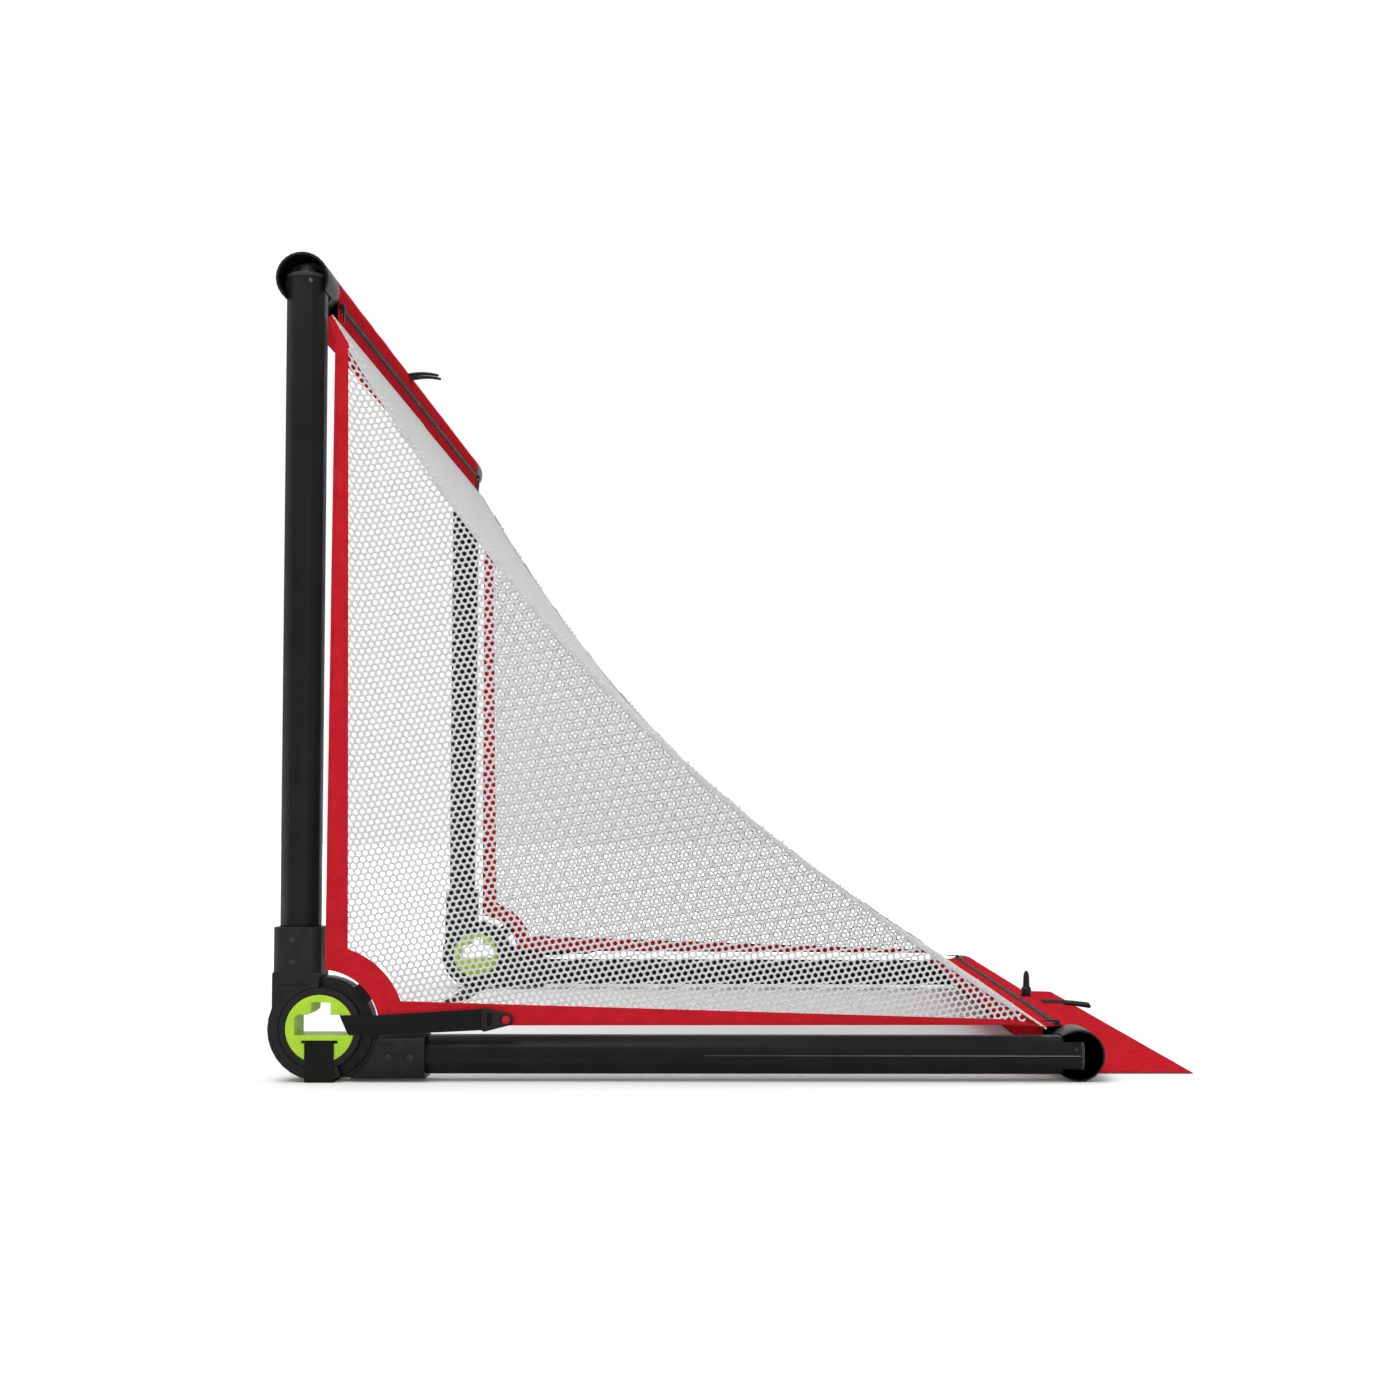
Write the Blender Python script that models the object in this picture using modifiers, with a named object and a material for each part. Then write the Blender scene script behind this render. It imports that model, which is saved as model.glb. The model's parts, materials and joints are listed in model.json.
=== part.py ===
"""A folding football goal whose crossbar and rear bar telescope.

Metres, +Z up. +X runs along the goal's width, +Y from the mouth to the rear bar. The ground is
z = 0 and the origin is under the middle of the goal. Each side frame is an L: a base tube on the
ground and a post that folds back on to it at a round hub. Outlines in the side plane are written
from the hub's axis, as (distance behind it, distance above it).
"""

import math

import bmesh
import bpy
from mathutils import Matrix, Vector

# Frame
WIDTH = 1.800  # over the outer faces of the two hubs
HEIGHT = 1.1996  # ground to the top of the corner shells
REAR_REACH = 1.097  # hub axis to the rear bar's axis
FLAP_REACH = 1.2855  # hub axis to the rear edge of the ground flap
POST_LEAD = 0.0346  # the post stands this far in front of the hub axis
CROSSBAR_LEAD = 0.039  # and the crossbar's axis this far
FIT = 0.0003  # gap between pieces that touch
RUN = 0.0005  # gap between pieces that slide or turn on each other

# Hub
HUB_RADIUS = 0.0745
HUB_WIDTH = 0.068
BEARING_RADIUS = 0.0590  # the base knuckle's discs, which the post's cheeks turn on
TONGUE = 0.036  # the base knuckle's middle disc
CHEEK_END = 295.0  # degrees round the hub, where a cheek ends under the base knuckle
CORE_RADIUS = 0.0445
CORE_FLANGE_RADIUS = 0.049
CORE_FLANGE = 0.004
CORE_STEP = 0.0015  # the core is thinner where the ring holds it
WINDOW_FRONT = 0.0360  # the finger window in the core, from the hub axis
WINDOW_RADIUS = 0.0400
WINDOW_BOTTOM = 0.0095
WINDOW_STEP = 0.0205
WINDOW_FILLET = 0.0050
NOTCH_FRONT = 0.0120
NOTCH_REAR = 0.0154
NOTCH_TOP = 0.0380
SLOT_DROP = 0.0187  # the webbing slot, below the hub axis
SLOT_HEIGHT = 0.0045
SLOT_DEPTH = 0.018
SLOT_SIDE = 0.005  # the slot is this much wider than the webbing at each edge

# Side tubes and the sleeves of the knuckles
TUBE = 0.055  # across its flats
TUBE_CHAMFER = 0.0150
TUBE_ROUND = 0.0030
TUBE_WALL = 0.0018
SLEEVE_WALL = 0.0062
KNUCKLE_GAP = 0.0085  # hub disc to the base knuckle's full width
NECK_STEP = 0.0015
POST_SLEEVE_TOP = 0.1456  # above the hub axis
BASE_SLEEVE_END = 0.1495  # behind the hub axis
TUBE_START = 0.0800  # where the tubes begin inside their sleeves, from the hub axis

# Screws of the knuckles
SCREW_RADIUS = 0.0030
SCREW_HEAD_RADIUS = 0.0047
SCREW_HEAD = 0.0011
POST_SCREW_AT = (-0.0399, (0.0966, 0.1273))  # across, and the two heights
BASE_SCREW_AT = (-0.0400, (0.0976, 0.1288))
NUT_BAR = 0.0032
NUT_BAR_WIDTH = 0.0120
NUT_BAR_OVER = 0.0080

# Caps and corner shells
CAP_PLATE = 0.0050
CAP_SPIGOT = 0.0220
CAP_DOME = 0.0170
CAP_DOME_RADIUS = 0.0165
CAP_NECK_RADIUS = 0.0095
POST_TOP = 0.0068  # the cap's shoulder above the crossbar's axis
SHELL_RADIUS = 0.038
SHELL_WALL = 0.0038
SHELL_LENGTH = 0.0860
SHELL_INSET = 0.0140  # hub face to the shell's rim
SHELL_SLOT = 0.0010
CORNER_SCREW_AT = 0.0095  # behind the post's axis
CORNER_SCREW_RADIUS = 0.0020
CORNER_SCREW_HEAD = 0.0034
CORNER_SCREW_REACH = 0.0110
CORNER_SCREW_RISE = 0.0017  # its head above the tube
HOLE_OVER = 0.0100  # screw holes are cut this far past the face

# Telescoping tubes of the crossbar and the rear bar
BAR_RADIUS = 0.0250
BAR_WALL = 0.0015
BAR_LAP = 0.0800  # how far the inner tube stays in the outer one
GLIDE_LENGTH = 0.0080
GLIDE_SPIGOT = 0.0200

# Fabric
CLOTH = 0.0016
WEB = 0.0016
HALF_GAP = 0.0004  # between the left and the right half of a cloth piece
COVER_RADIUS = 0.0375  # the sleeves sewn round the crossbar and the rear bar
SEAM_OUT = 0.0360  # the net's seam from the crossbar's axis
SEAM_DOWN = 0.0450
SKIRT_DOWN = 0.0850
ZIP_DOWN = 0.0190
ZIP_WIDTH = 0.0090
ZIP_STAND = 0.0016
PULL_WIDTH = 0.0080
PULL_BODY = 0.0050
PULL_LENGTH = 0.0070
PULL_TAB = 0.0240
PULL_TAB_THICK = 0.0018
PULL_INSET = 0.0060  # shell's end to the pull
SAG = 0.103  # the back net's drop inside the straight line between its seams
SAG_BIAS = 0.94
SIDE_LEAN = 0.030  # the side nets lean inwards by this share of their height and depth
SIDE_LEVEL = 0.250  # where the lean starts, as height plus depth from the hub axis
SIDE_INSET = 0.0068  # hub face to the side cloth at that level
BORDER_FRONT = 0.0065
BORDER_TOP_WIDTH = 0.0190
BORDER_LOW_WIDTH = 0.0320
ARC_INNER = 0.0850
ARC_OUTER = 0.1210
BORDER_LOW = 0.0050  # the bottom border's straight edge above the hub axis
BORDER_LOW_TOP = 0.0400
BORDER_REAR_TOP = 0.0125
BORDER_LAP = 0.0100  # the front border's lower corner above the arc's inner edge
BORDER_TURN = 1.5  # degrees between the front and the bottom border
BORDER_SEAM_DROP = 0.0040  # borders end this far from the seams of the back net
BORDER_TIP = 0.0050
BORDER_TOP_RUN = 0.0400
BORDER_REAR_RUN = 0.0300
NET_TOP = 0.055  # shares of the back net's curve where the side net begins and ends
NET_REAR = 0.955
NET_LEDGE = 0.012
NET_CLEAR = 0.0005  # side net to the borders
BACK_CLEAR = 0.0060  # back net to the side nets
BACK_ROWS = 16
BACK_MARGIN = 0.0022  # back net to its seams
NET_SIDE_PITCH = 0.094
NET_BACK_PITCH = 0.136
NET_STRAND = 0.012
NET_EDGE = 0.006
FLAP_HALF = 0.780
GOAL_WEB = 0.0420
TENSION_WEB = 0.0280
TENSION_RISE = 0.0058  # its middle above the hub axis
BUCKLE_RISE = 0.0138  # and its buckle's, so the webbing climbs to it
TENSION_INNER = 0.0290
TENSION_BEND = 0.0020
TENSION_DEPTH = 0.0108  # how far it goes into the window
TENSION_OVER = 0.0820
BUCKLE_START = 0.2300
BUCKLE_LENGTH = 0.0450
BUCKLE_HEIGHT = 0.0370
BUCKLE_THICK = 0.0050
BUCKLE_TIP = 0.0140
BUCKLE_FRAME = 0.0085
BUCKLE_SLOT = 0.0070
BUCKLE_TAPER = 0.0010
BUCKLE_EYE = 0.0035
BUCKLE_ROUND = 0.0030

# Bundling straps
TOP_BUNDLE_X = 0.130
TOP_BUNDLE_WIDTH = 0.044
TOP_BUNDLE_PRONG = 0.013
TOP_BUNDLE_ROOT = 0.016
TOP_BUNDLE_REACH = 0.053
TOP_BUNDLE_RISE = 0.013
TOP_BUNDLE_THICK = 0.005
TOP_BUNDLE_ROUND = 0.003
REAR_BUNDLE_X = 0.270
REAR_BUNDLE_WIDTH = 0.020
REAR_BUNDLE_HEIGHT = 0.044
REAR_BUNDLE_THICK = 0.010
REAR_BUNDLE_SHOULDER = 0.016
REAR_BUNDLE_TIP = 0.009

# Facets of the round shapes
HUB_STEPS = 36
BAR_STEPS = 28
COVER_STEPS = 18
SCREW_STEPS = 10
BELL_STEPS = 16

HUB_Z = HUB_RADIUS + FIT + WEB
BASE_Z = SHELL_RADIUS
BASE_DROP = HUB_Z - BASE_Z
BAR_RISE = HEIGHT - SHELL_RADIUS - HUB_Z  # crossbar's axis above the hub axis
FRONT_REACH = max(HUB_RADIUS, CROSSBAR_LEAD + SHELL_RADIUS)
HUB_Y = (FRONT_REACH - FLAP_REACH) / 2
HUB_X = WIDTH / 2 - HUB_WIDTH / 2
SHELL_RIM = WIDTH / 2 - SHELL_INSET
SHELL_END = SHELL_RIM - SHELL_LENGTH
TUBE_INNER_X = HUB_X - TUBE / 2
SLEEVE = TUBE / 2 + FIT + SLEEVE_WALL  # half the width of a knuckle's sleeve
SIDES = {"left": -1, "right": 1}

HUB = Vector((0, HUB_Y, HUB_Z))
SIDE_PLANE = Matrix(((0, 0, 1, 0), (1, 0, 0, 0), (0, 1, 0, 0), (0, 0, 0, 1)))
ALONG_Y = Matrix(((1, 0, 0, 0), (0, 0, -1, 0), (0, 1, 0, 0), (0, 0, 0, 1)))
FLAT = Matrix.Identity(4)

COLOURS = {
    "frame": ((0.018, 0.018, 0.019), 0.42, 0.0),
    "tube": ((0.017, 0.017, 0.018), 0.38, 0.3),
    "cap": ((0.10, 0.10, 0.105), 0.35, 0.0),
    "lime": ((0.43, 0.72, 0.04), 0.35, 0.0),
    "red": ((0.60, 0.025, 0.045), 0.75, 0.0),
    "net": ((0.80, 0.80, 0.80), 0.70, 0.0),
    "web": ((0.012, 0.012, 0.013), 0.80, 0.0),
    "zip": ((0.05, 0.05, 0.045), 0.60, 0.0),
    "screw": ((0.06, 0.06, 0.065), 0.35, 1.0),
    "steel": ((0.45, 0.45, 0.46), 0.30, 1.0),
}


def clear_scene():
    for obj in list(bpy.data.objects):
        bpy.data.objects.remove(obj, do_unlink=True)
    for collection in list(bpy.data.collections):
        bpy.data.collections.remove(collection)


def new_collection(name):
    collection = bpy.data.collections.new(name)
    bpy.context.scene.collection.children.link(collection)
    return collection


def material_of(name):
    if name in bpy.data.materials:
        return bpy.data.materials[name]
    colour, roughness, metallic = COLOURS[name]
    material = bpy.data.materials.new(name)
    material.use_nodes = True
    shader = material.node_tree.nodes["Principled BSDF"]
    shader.inputs["Base Color"].default_value = (*colour, 1)
    shader.inputs["Roughness"].default_value = roughness
    shader.inputs["Metallic"].default_value = metallic
    material.diffuse_color = (*colour, 1)
    return material


clear_scene()
goal = new_collection("telescopic_goal")
helpers = new_collection("goal_cutters")


def finished(obj, colour, smooth=False):
    """A node of the goal: in its collection, with its material."""
    for collection in list(obj.users_collection):
        collection.objects.unlink(obj)
    goal.objects.link(obj)
    obj.data.materials.clear()
    obj.data.materials.append(material_of(colour))
    if smooth:
        obj.data.shade_smooth()
        obj.data.set_sharp_from_angle(angle=math.radians(35))
    return obj


def helper(obj):
    """A cutter, or a shape joined into another one."""
    for collection in list(obj.users_collection):
        collection.objects.unlink(obj)
    helpers.objects.link(obj)
    obj.hide_render = True
    obj.display_type = "WIRE"
    return obj


def combine(target, operation, others):
    for other in others:
        modifier = target.modifiers.new(operation.lower(), "BOOLEAN")
        modifier.operation = operation
        modifier.solver = "EXACT"
        modifier.object = helper(other)
    return target


def cut(target, *others):
    return combine(target, "DIFFERENCE", others)


def join(target, *others):
    return combine(target, "UNION", others)


def meshed(obj):
    """The welded mesh of a curve object, in its place."""
    bpy.context.view_layer.update()
    graph = bpy.context.evaluated_depsgraph_get()
    mesh = bpy.data.meshes.new_from_object(obj.evaluated_get(graph))
    soft = bmesh.new()
    soft.from_mesh(mesh)
    bmesh.ops.remove_doubles(soft, verts=soft.verts, dist=1e-6)
    soft.to_mesh(mesh)
    soft.free()
    made = bpy.data.objects.new(obj.name + "_mesh", mesh)
    made.matrix_world = obj.matrix_world.copy()
    helpers.objects.link(made)
    name = obj.name
    bpy.data.objects.remove(obj, do_unlink=True)
    made.name = name
    return made


def prism(name, loops, thickness, plane=SIDE_PLANE, at=HUB, along=0.0):
    """A flat outline, with any holes in it, given a thickness. along moves it along its normal."""
    curve = bpy.data.curves.new(name, "CURVE")
    curve.dimensions = "2D"
    curve.fill_mode = "BOTH"
    curve.extrude = thickness / 2
    for loop in loops:
        spline = curve.splines.new("POLY")
        spline.points.add(len(loop) - 1)
        for point, (u, v) in zip(spline.points, loop):
            point.co = (u, v, 0, 1)
        spline.use_cyclic_u = True
    obj = bpy.data.objects.new(name, curve)
    helpers.objects.link(obj)
    obj.matrix_world = Matrix.Translation(at) @ plane @ Matrix.Translation((0, 0, along))
    return meshed(obj)


def rod(name, radius, start, end, sides=SCREW_STEPS):
    """A round bar from start to end, both in world metres."""
    start, end = Vector(start), Vector(end)
    mesh = bpy.data.meshes.new(name)
    shape = bmesh.new()
    bmesh.ops.create_cone(
        shape,
        cap_ends=True,
        segments=sides,
        radius1=radius,
        radius2=radius,
        depth=(end - start).length,
    )
    shape.to_mesh(mesh)
    shape.free()
    obj = bpy.data.objects.new(name, mesh)
    helpers.objects.link(obj)
    turn = (end - start).to_track_quat("Z", "Y").to_matrix().to_4x4()
    obj.matrix_world = Matrix.Translation((start + end) / 2) @ turn
    return obj


def block(name, low, high):
    """A box between two corners, in world metres."""
    low, high = Vector(low), Vector(high)
    mesh = bpy.data.meshes.new(name)
    shape = bmesh.new()
    bmesh.ops.create_cube(shape, size=1)
    bmesh.ops.scale(shape, vec=high - low, verts=shape.verts)
    shape.to_mesh(mesh)
    shape.free()
    obj = bpy.data.objects.new(name, mesh)
    helpers.objects.link(obj)
    obj.location = (low + high) / 2
    return obj


def turned(name, profile, at, sides=BELL_STEPS):
    """A turned shape about +Z at a point; the profile runs down its outer side."""
    mesh = bpy.data.meshes.new(name)
    shape = bmesh.new()
    points = [shape.verts.new((radius, 0, height)) for radius, height in profile]
    for first, second in zip(points, points[1:]):
        shape.edges.new((first, second))
    shape.to_mesh(mesh)
    shape.free()
    obj = bpy.data.objects.new(name, mesh)
    helpers.objects.link(obj)
    obj.location = at
    spin = obj.modifiers.new("turn", "SCREW")
    spin.steps = sides
    spin.render_steps = sides
    spin.use_merge_vertices = True
    spin.merge_threshold = 0.00001
    return obj


def arc(radius, start, end, steps, centre=(0.0, 0.0)):
    """Points on a circle between two angles in degrees, both ends included."""
    turns = [math.radians(start + (end - start) * k / steps) for k in range(steps + 1)]
    return [(centre[0] + radius * math.cos(a), centre[1] + radius * math.sin(a)) for a in turns]


def on_circle(radius, across):
    """How high a circle is, at a distance across from its centre."""
    return math.sqrt(radius**2 - across**2)


def circle(radius, steps=24, centre=(0.0, 0.0)):
    return arc(radius, 0, 360, steps, centre)[:-1]


def rounded(points, radius, steps=1):
    """A closed outline with each corner replaced by a short arc."""
    made = []
    for before, here, after in zip(points[-1:] + points[:-1], points, points[1:] + points[:1]):
        corner, a, b = Vector(here), Vector(before), Vector(after)
        into, out = (a - corner).normalized(), (b - corner).normalized()
        half = into.angle(out) / 2
        reach = radius / math.tan(half)
        middle = corner + (into + out).normalized() * (radius / math.sin(half))
        first, last = corner + into * reach, corner + out * reach
        for k in range(steps + 1):
            way = (first - middle).lerp(last - middle, k / steps).normalized()
            point = middle + way * radius
            made.append((point.x, point.y))
    return made


def octagon(half, chamfer, centre=(0.0, 0.0), round_radius=TUBE_ROUND):
    """The side tubes' section: a square with chamfered and slightly rounded corners."""
    near = half - chamfer
    turns = [(near, half), (-near, half), (-half, near), (-half, -near)]
    corners = turns + [(-x, -y) for x, y in turns]
    return [(centre[0] + x, centre[1] + y) for x, y in rounded(corners, round_radius)]


def inset_octagon(inset, centre=(0.0, 0.0), outer=TUBE / 2):
    """The same section with a wall's thickness taken off all round."""
    chamfer = TUBE_CHAMFER - inset * (2 - math.sqrt(2))
    return octagon(outer - inset, chamfer, centre, max(TUBE_ROUND - inset, 0.0008))


def ribbon(points, thickness):
    """The closed outline of a band that follows the points."""
    path = [Vector(point) for point in points]
    sides = ([], [])
    for k, here in enumerate(path):
        before = (here - path[k - 1]).normalized() if k else None
        after = (path[k + 1] - here).normalized() if k + 1 < len(path) else None
        first = before or after
        last = after or before
        mitre = (first + last).normalized()
        normal = Vector((-mitre.y, mitre.x))
        reach = thickness / 2 / max(mitre.dot(first), 0.4)
        sides[0].append(tuple(here + normal * reach))
        sides[1].append(tuple(here - normal * reach))
    return sides[0] + sides[1][::-1]


def moved(points, across, up):
    return [(x + across, y + up) for x, y in points]


def mirrored(points):
    """An outline round the crossbar, turned into the same one round the rear bar."""
    return [(y, x) for x, y in points][::-1]


def sag_point(share):
    """The back net's curve in the side plane, from its top seam (0) to its rear seam (1)."""
    top = Vector((SEAM_OUT - CROSSBAR_LEAD, BAR_RISE - SEAM_DOWN))
    rear = Vector((REAR_REACH - SEAM_DOWN, SEAM_OUT - BASE_DROP))
    chord = rear - top
    inwards = Vector((chord.y, -chord.x)).normalized()
    drop = SAG * math.sin(math.pi * min(max(share, 0.0), 1.0) ** SAG_BIAS)
    return top + chord * share + inwards * drop


def chord_length():
    return (sag_point(1.0) - sag_point(0.0)).length


def inside(point, outline, margin):
    """Whether a point lies in an outline and at least margin from its edges."""
    x, y = point
    found = False
    for (ax, ay), (bx, by) in zip(outline, outline[1:] + outline[:1]):
        if (ay > y) != (by > y) and x < (bx - ax) * (y - ay) / (by - ay) + ax:
            found = not found
        edge = Vector((bx - ax, by - ay))
        share = max(0.0, min(1.0, Vector((x - ax, y - ay)).dot(edge) / edge.length_squared))
        if (Vector((ax, ay)) + edge * share - Vector(point)).length < margin:
            return False
    return found


def net_gaps(outline, pitch):
    """Six-sided gaps on a honeycomb that fit in an outline."""
    xs, ys = [x for x, _ in outline], [y for _, y in outline]
    radius = (pitch - NET_STRAND) / math.sqrt(3)
    row_step = pitch * math.sqrt(3) / 2
    gaps = []
    for row in range(int((max(ys) - min(ys)) / row_step) + 1):
        for column in range(int((max(xs) - min(xs)) / pitch) + 1):
            centre = (
                min(xs) + pitch * (column + 0.5 + 0.5 * (row % 2)),
                min(ys) + row_step * (row + 0.5),
            )
            gap = arc(radius, 30, 330, 5, centre)
            if all(inside(corner, outline, NET_EDGE) for corner in gap):
                gaps.append(gap)
    return gaps


def bar_centre(rear):
    """A bar's axis from the hub axis, as (behind, above)."""
    return (REAR_REACH, -BASE_DROP) if rear else (-CROSSBAR_LEAD, BAR_RISE)


def round_bar(points, rear):
    """An outline about the crossbar's axis, put round the crossbar or, mirrored, the rear bar."""
    return moved(mirrored(points) if rear else points, *bar_centre(rear))


def base_knuckle(side, sign):
    """Middle disc, full-width bearing disc and the sleeve that holds the base tube."""
    x = sign * HUB_X
    name = f"{side}_base_knuckle"
    hollow = HUB_RADIUS + KNUCKLE_GAP
    knuckle = sleeve_solid(name, x, False, HUB_RADIUS * 0.4, BASE_SLEEVE_END)
    hug = prism(name + "_hug", [circle(hollow, HUB_STEPS)], HUB_WIDTH * 2, along=x)
    cut(knuckle, hug)
    low, high = -BASE_DROP - SLEEVE + NECK_STEP, -BASE_DROP + SLEEVE - NECK_STEP
    neck_end = (hollow + BASE_SLEEVE_END) / 2
    neck = [(0, low), (neck_end, low), (neck_end, high), (0, high)]
    join(
        knuckle,
        prism(name + "_neck", [neck], TONGUE - 2 * FIT, along=x),
        prism(name + "_middle", [circle(HUB_RADIUS, HUB_STEPS)], TONGUE, along=x),
        prism(name + "_disc", [circle(BEARING_RADIUS, HUB_STEPS)], HUB_WIDTH, along=x),
    )
    bore = prism(name + "_bore", [circle(CORE_RADIUS + FIT, HUB_STEPS)], HUB_WIDTH * 2, along=x)
    rims = [
        prism(
            name + "_rim",
            [circle(CORE_FLANGE_RADIUS + FIT, HUB_STEPS)],
            2 * (CORE_FLANGE + FIT),
            along=x + end * HUB_WIDTH / 2,
        )
        for end in (-1, 1)
    ]
    tube_hole = tube_bore(name, x, False, BASE_SLEEVE_END)
    return finished(cut(knuckle, bore, *rims, tube_hole), "frame", smooth=True)


def sleeve_solid(name, x, post, start, end):
    """The chamfered block round a tube's foot, along the tube."""
    section = octagon(SLEEVE, TUBE_CHAMFER * 0.75)
    if post:
        at, plane, middle = Vector((x, HUB_Y - POST_LEAD, HUB_Z)), FLAT, (start + end) / 2
    else:
        at, plane, middle = Vector((x, HUB_Y, BASE_Z)), ALONG_Y, -(start + end) / 2
    return prism(name, [section], end - start, plane, at, middle)


def tube_bore(name, x, post, sleeve_end):
    """The hole for a tube, from its foot out through the end of its sleeve."""
    start, end = TUBE_START - FIT, sleeve_end + 0.010
    if post:
        at, plane, middle = Vector((x, HUB_Y - POST_LEAD, HUB_Z)), FLAT, (start + end) / 2
    else:
        at, plane, middle = Vector((x, HUB_Y, BASE_Z)), ALONG_Y, -(start + end) / 2
    return prism(name + "_tube_bore", [inset_octagon(-FIT)], end - start, plane, at, middle)


def post_knuckle(side, sign):
    """The sleeve that holds the post and the two cheeks that turn on the base knuckle."""
    x = sign * HUB_X
    name = f"{side}_post_knuckle"
    front, rear = -POST_LEAD - SLEEVE + FIT, -POST_LEAD + SLEEVE - FIT
    knuckle = sleeve_solid(name, x, True, BEARING_RADIUS + 0.004, POST_SLEEVE_TOP)
    cheek = (HUB_WIDTH - TONGUE) / 2 + RUN
    meets = math.degrees(math.acos(max(front / HUB_RADIUS, -1.0)))
    inner = arc(BEARING_RADIUS + RUN, 92, CHEEK_END, HUB_STEPS // 2)
    outer = arc(HUB_RADIUS, CHEEK_END, meets, HUB_STEPS // 3)
    rise = HUB_RADIUS + 0.006
    plate = inner + outer + [(front, rise), (rear, rise), (rear, HUB_RADIUS - 0.004)]
    cheeks = [
        prism(f"{name}_cheek", [plate], cheek, along=x + end * ((HUB_WIDTH - cheek) / 2 - FIT))
        for end in (-1, 1)
    ]
    join(knuckle, *cheeks)
    room = prism(name + "_room", [circle(HUB_RADIUS + RUN, HUB_STEPS)], TONGUE + 2 * RUN, along=x)
    cut(knuckle, room, tube_bore(name, x, True, POST_SLEEVE_TOP))
    return finished(knuckle, "frame", smooth=True)


def window_outline():
    """The D-shaped finger window with its notch on top."""
    low_turn = -math.degrees(math.asin(WINDOW_BOTTOM / WINDOW_RADIUS))
    high_turn = math.degrees(math.asin(WINDOW_STEP / WINDOW_RADIUS))
    right = arc(WINDOW_RADIUS, low_turn, high_turn, 8)
    return right + [
        (NOTCH_REAR, WINDOW_STEP),
        (NOTCH_REAR, NOTCH_TOP),
        (-NOTCH_FRONT, NOTCH_TOP),
        (-NOTCH_FRONT, WINDOW_STEP + WINDOW_FILLET),
        (-NOTCH_FRONT - WINDOW_FILLET, WINDOW_STEP),
        (-WINDOW_FRONT + WINDOW_FILLET, WINDOW_STEP),
        (-WINDOW_FRONT, WINDOW_STEP - WINDOW_FILLET),
        (-WINDOW_FRONT, -WINDOW_BOTTOM),
    ]


def hub_core(side, sign):
    """The lime spool through the hub, with its window and the slot for the goal-line webbing."""
    x = sign * HUB_X
    name = f"{side}_hub_core"
    length = HUB_WIDTH - CORE_FLANGE
    core = prism(name, [circle(CORE_RADIUS, HUB_STEPS)], length, along=x + sign * CORE_FLANGE / 2)
    face = x + sign * (HUB_WIDTH - CORE_FLANGE) / 2
    flange = prism(name + "_flange", [circle(CORE_FLANGE_RADIUS, HUB_STEPS)], CORE_FLANGE, along=face)
    tail = prism(
        name + "_tail",
        [circle(CORE_RADIUS - CORE_STEP, HUB_STEPS)],
        CORE_FLANGE * 2,
        along=x - sign * (HUB_WIDTH / 2 - CORE_FLANGE),
    )
    join(core, flange, tail)
    window = prism(name + "_window", [window_outline()], HUB_WIDTH * 2, along=x)
    half, low = GOAL_WEB / 2 + SLOT_SIDE, -SLOT_DROP - SLOT_HEIGHT / 2
    slot_face = [(-half, low), (half, low), (half, low + SLOT_HEIGHT), (-half, low + SLOT_HEIGHT)]
    slot = prism(name + "_slot", [slot_face], SLOT_DEPTH * 2, along=sign * WIDTH / 2)
    return finished(cut(core, window, slot), "lime", smooth=True)


def hub_ring(side, sign):
    """The ring that holds the core from the inner side."""
    x = sign * (HUB_X - HUB_WIDTH / 2 + CORE_FLANGE / 2)
    loops = [circle(CORE_FLANGE_RADIUS, HUB_STEPS), circle(CORE_RADIUS - CORE_STEP + FIT, HUB_STEPS)]
    ring = prism(f"{side}_hub_ring", loops, CORE_FLANGE - 2 * FIT, along=x)
    return finished(ring, "lime", smooth=True)


def side_tube(side, sign, post):
    """A chamfered tube: the post, or the base tube on the ground."""
    x = sign * HUB_X
    loops = [octagon(TUBE / 2, TUBE_CHAMFER), inset_octagon(TUBE_WALL)]
    if post:
        end = BAR_RISE + POST_TOP - CAP_PLATE - FIT
        at, plane, middle = Vector((x, HUB_Y - POST_LEAD, HUB_Z)), FLAT, (TUBE_START + end) / 2
    else:
        end = REAR_REACH + POST_TOP - CAP_PLATE - FIT
        at, plane, middle = Vector((x, HUB_Y, BASE_Z)), ALONG_Y, -(TUBE_START + end) / 2
    name = f"{side}_{'post' if post else 'base'}_tube"
    return prism(name, loops, end - TUBE_START, plane, at, middle)


def tube_end(post, sign, back=0.0):
    """A point on a side tube's axis, back from its capped end."""
    x = sign * HUB_X
    if post:
        return Vector((x, HUB_Y - POST_LEAD, HUB_Z + BAR_RISE + POST_TOP - CAP_PLATE - back))
    return Vector((x, HUB_Y + REAR_REACH + POST_TOP - CAP_PLATE - back, BASE_Z))


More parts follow.
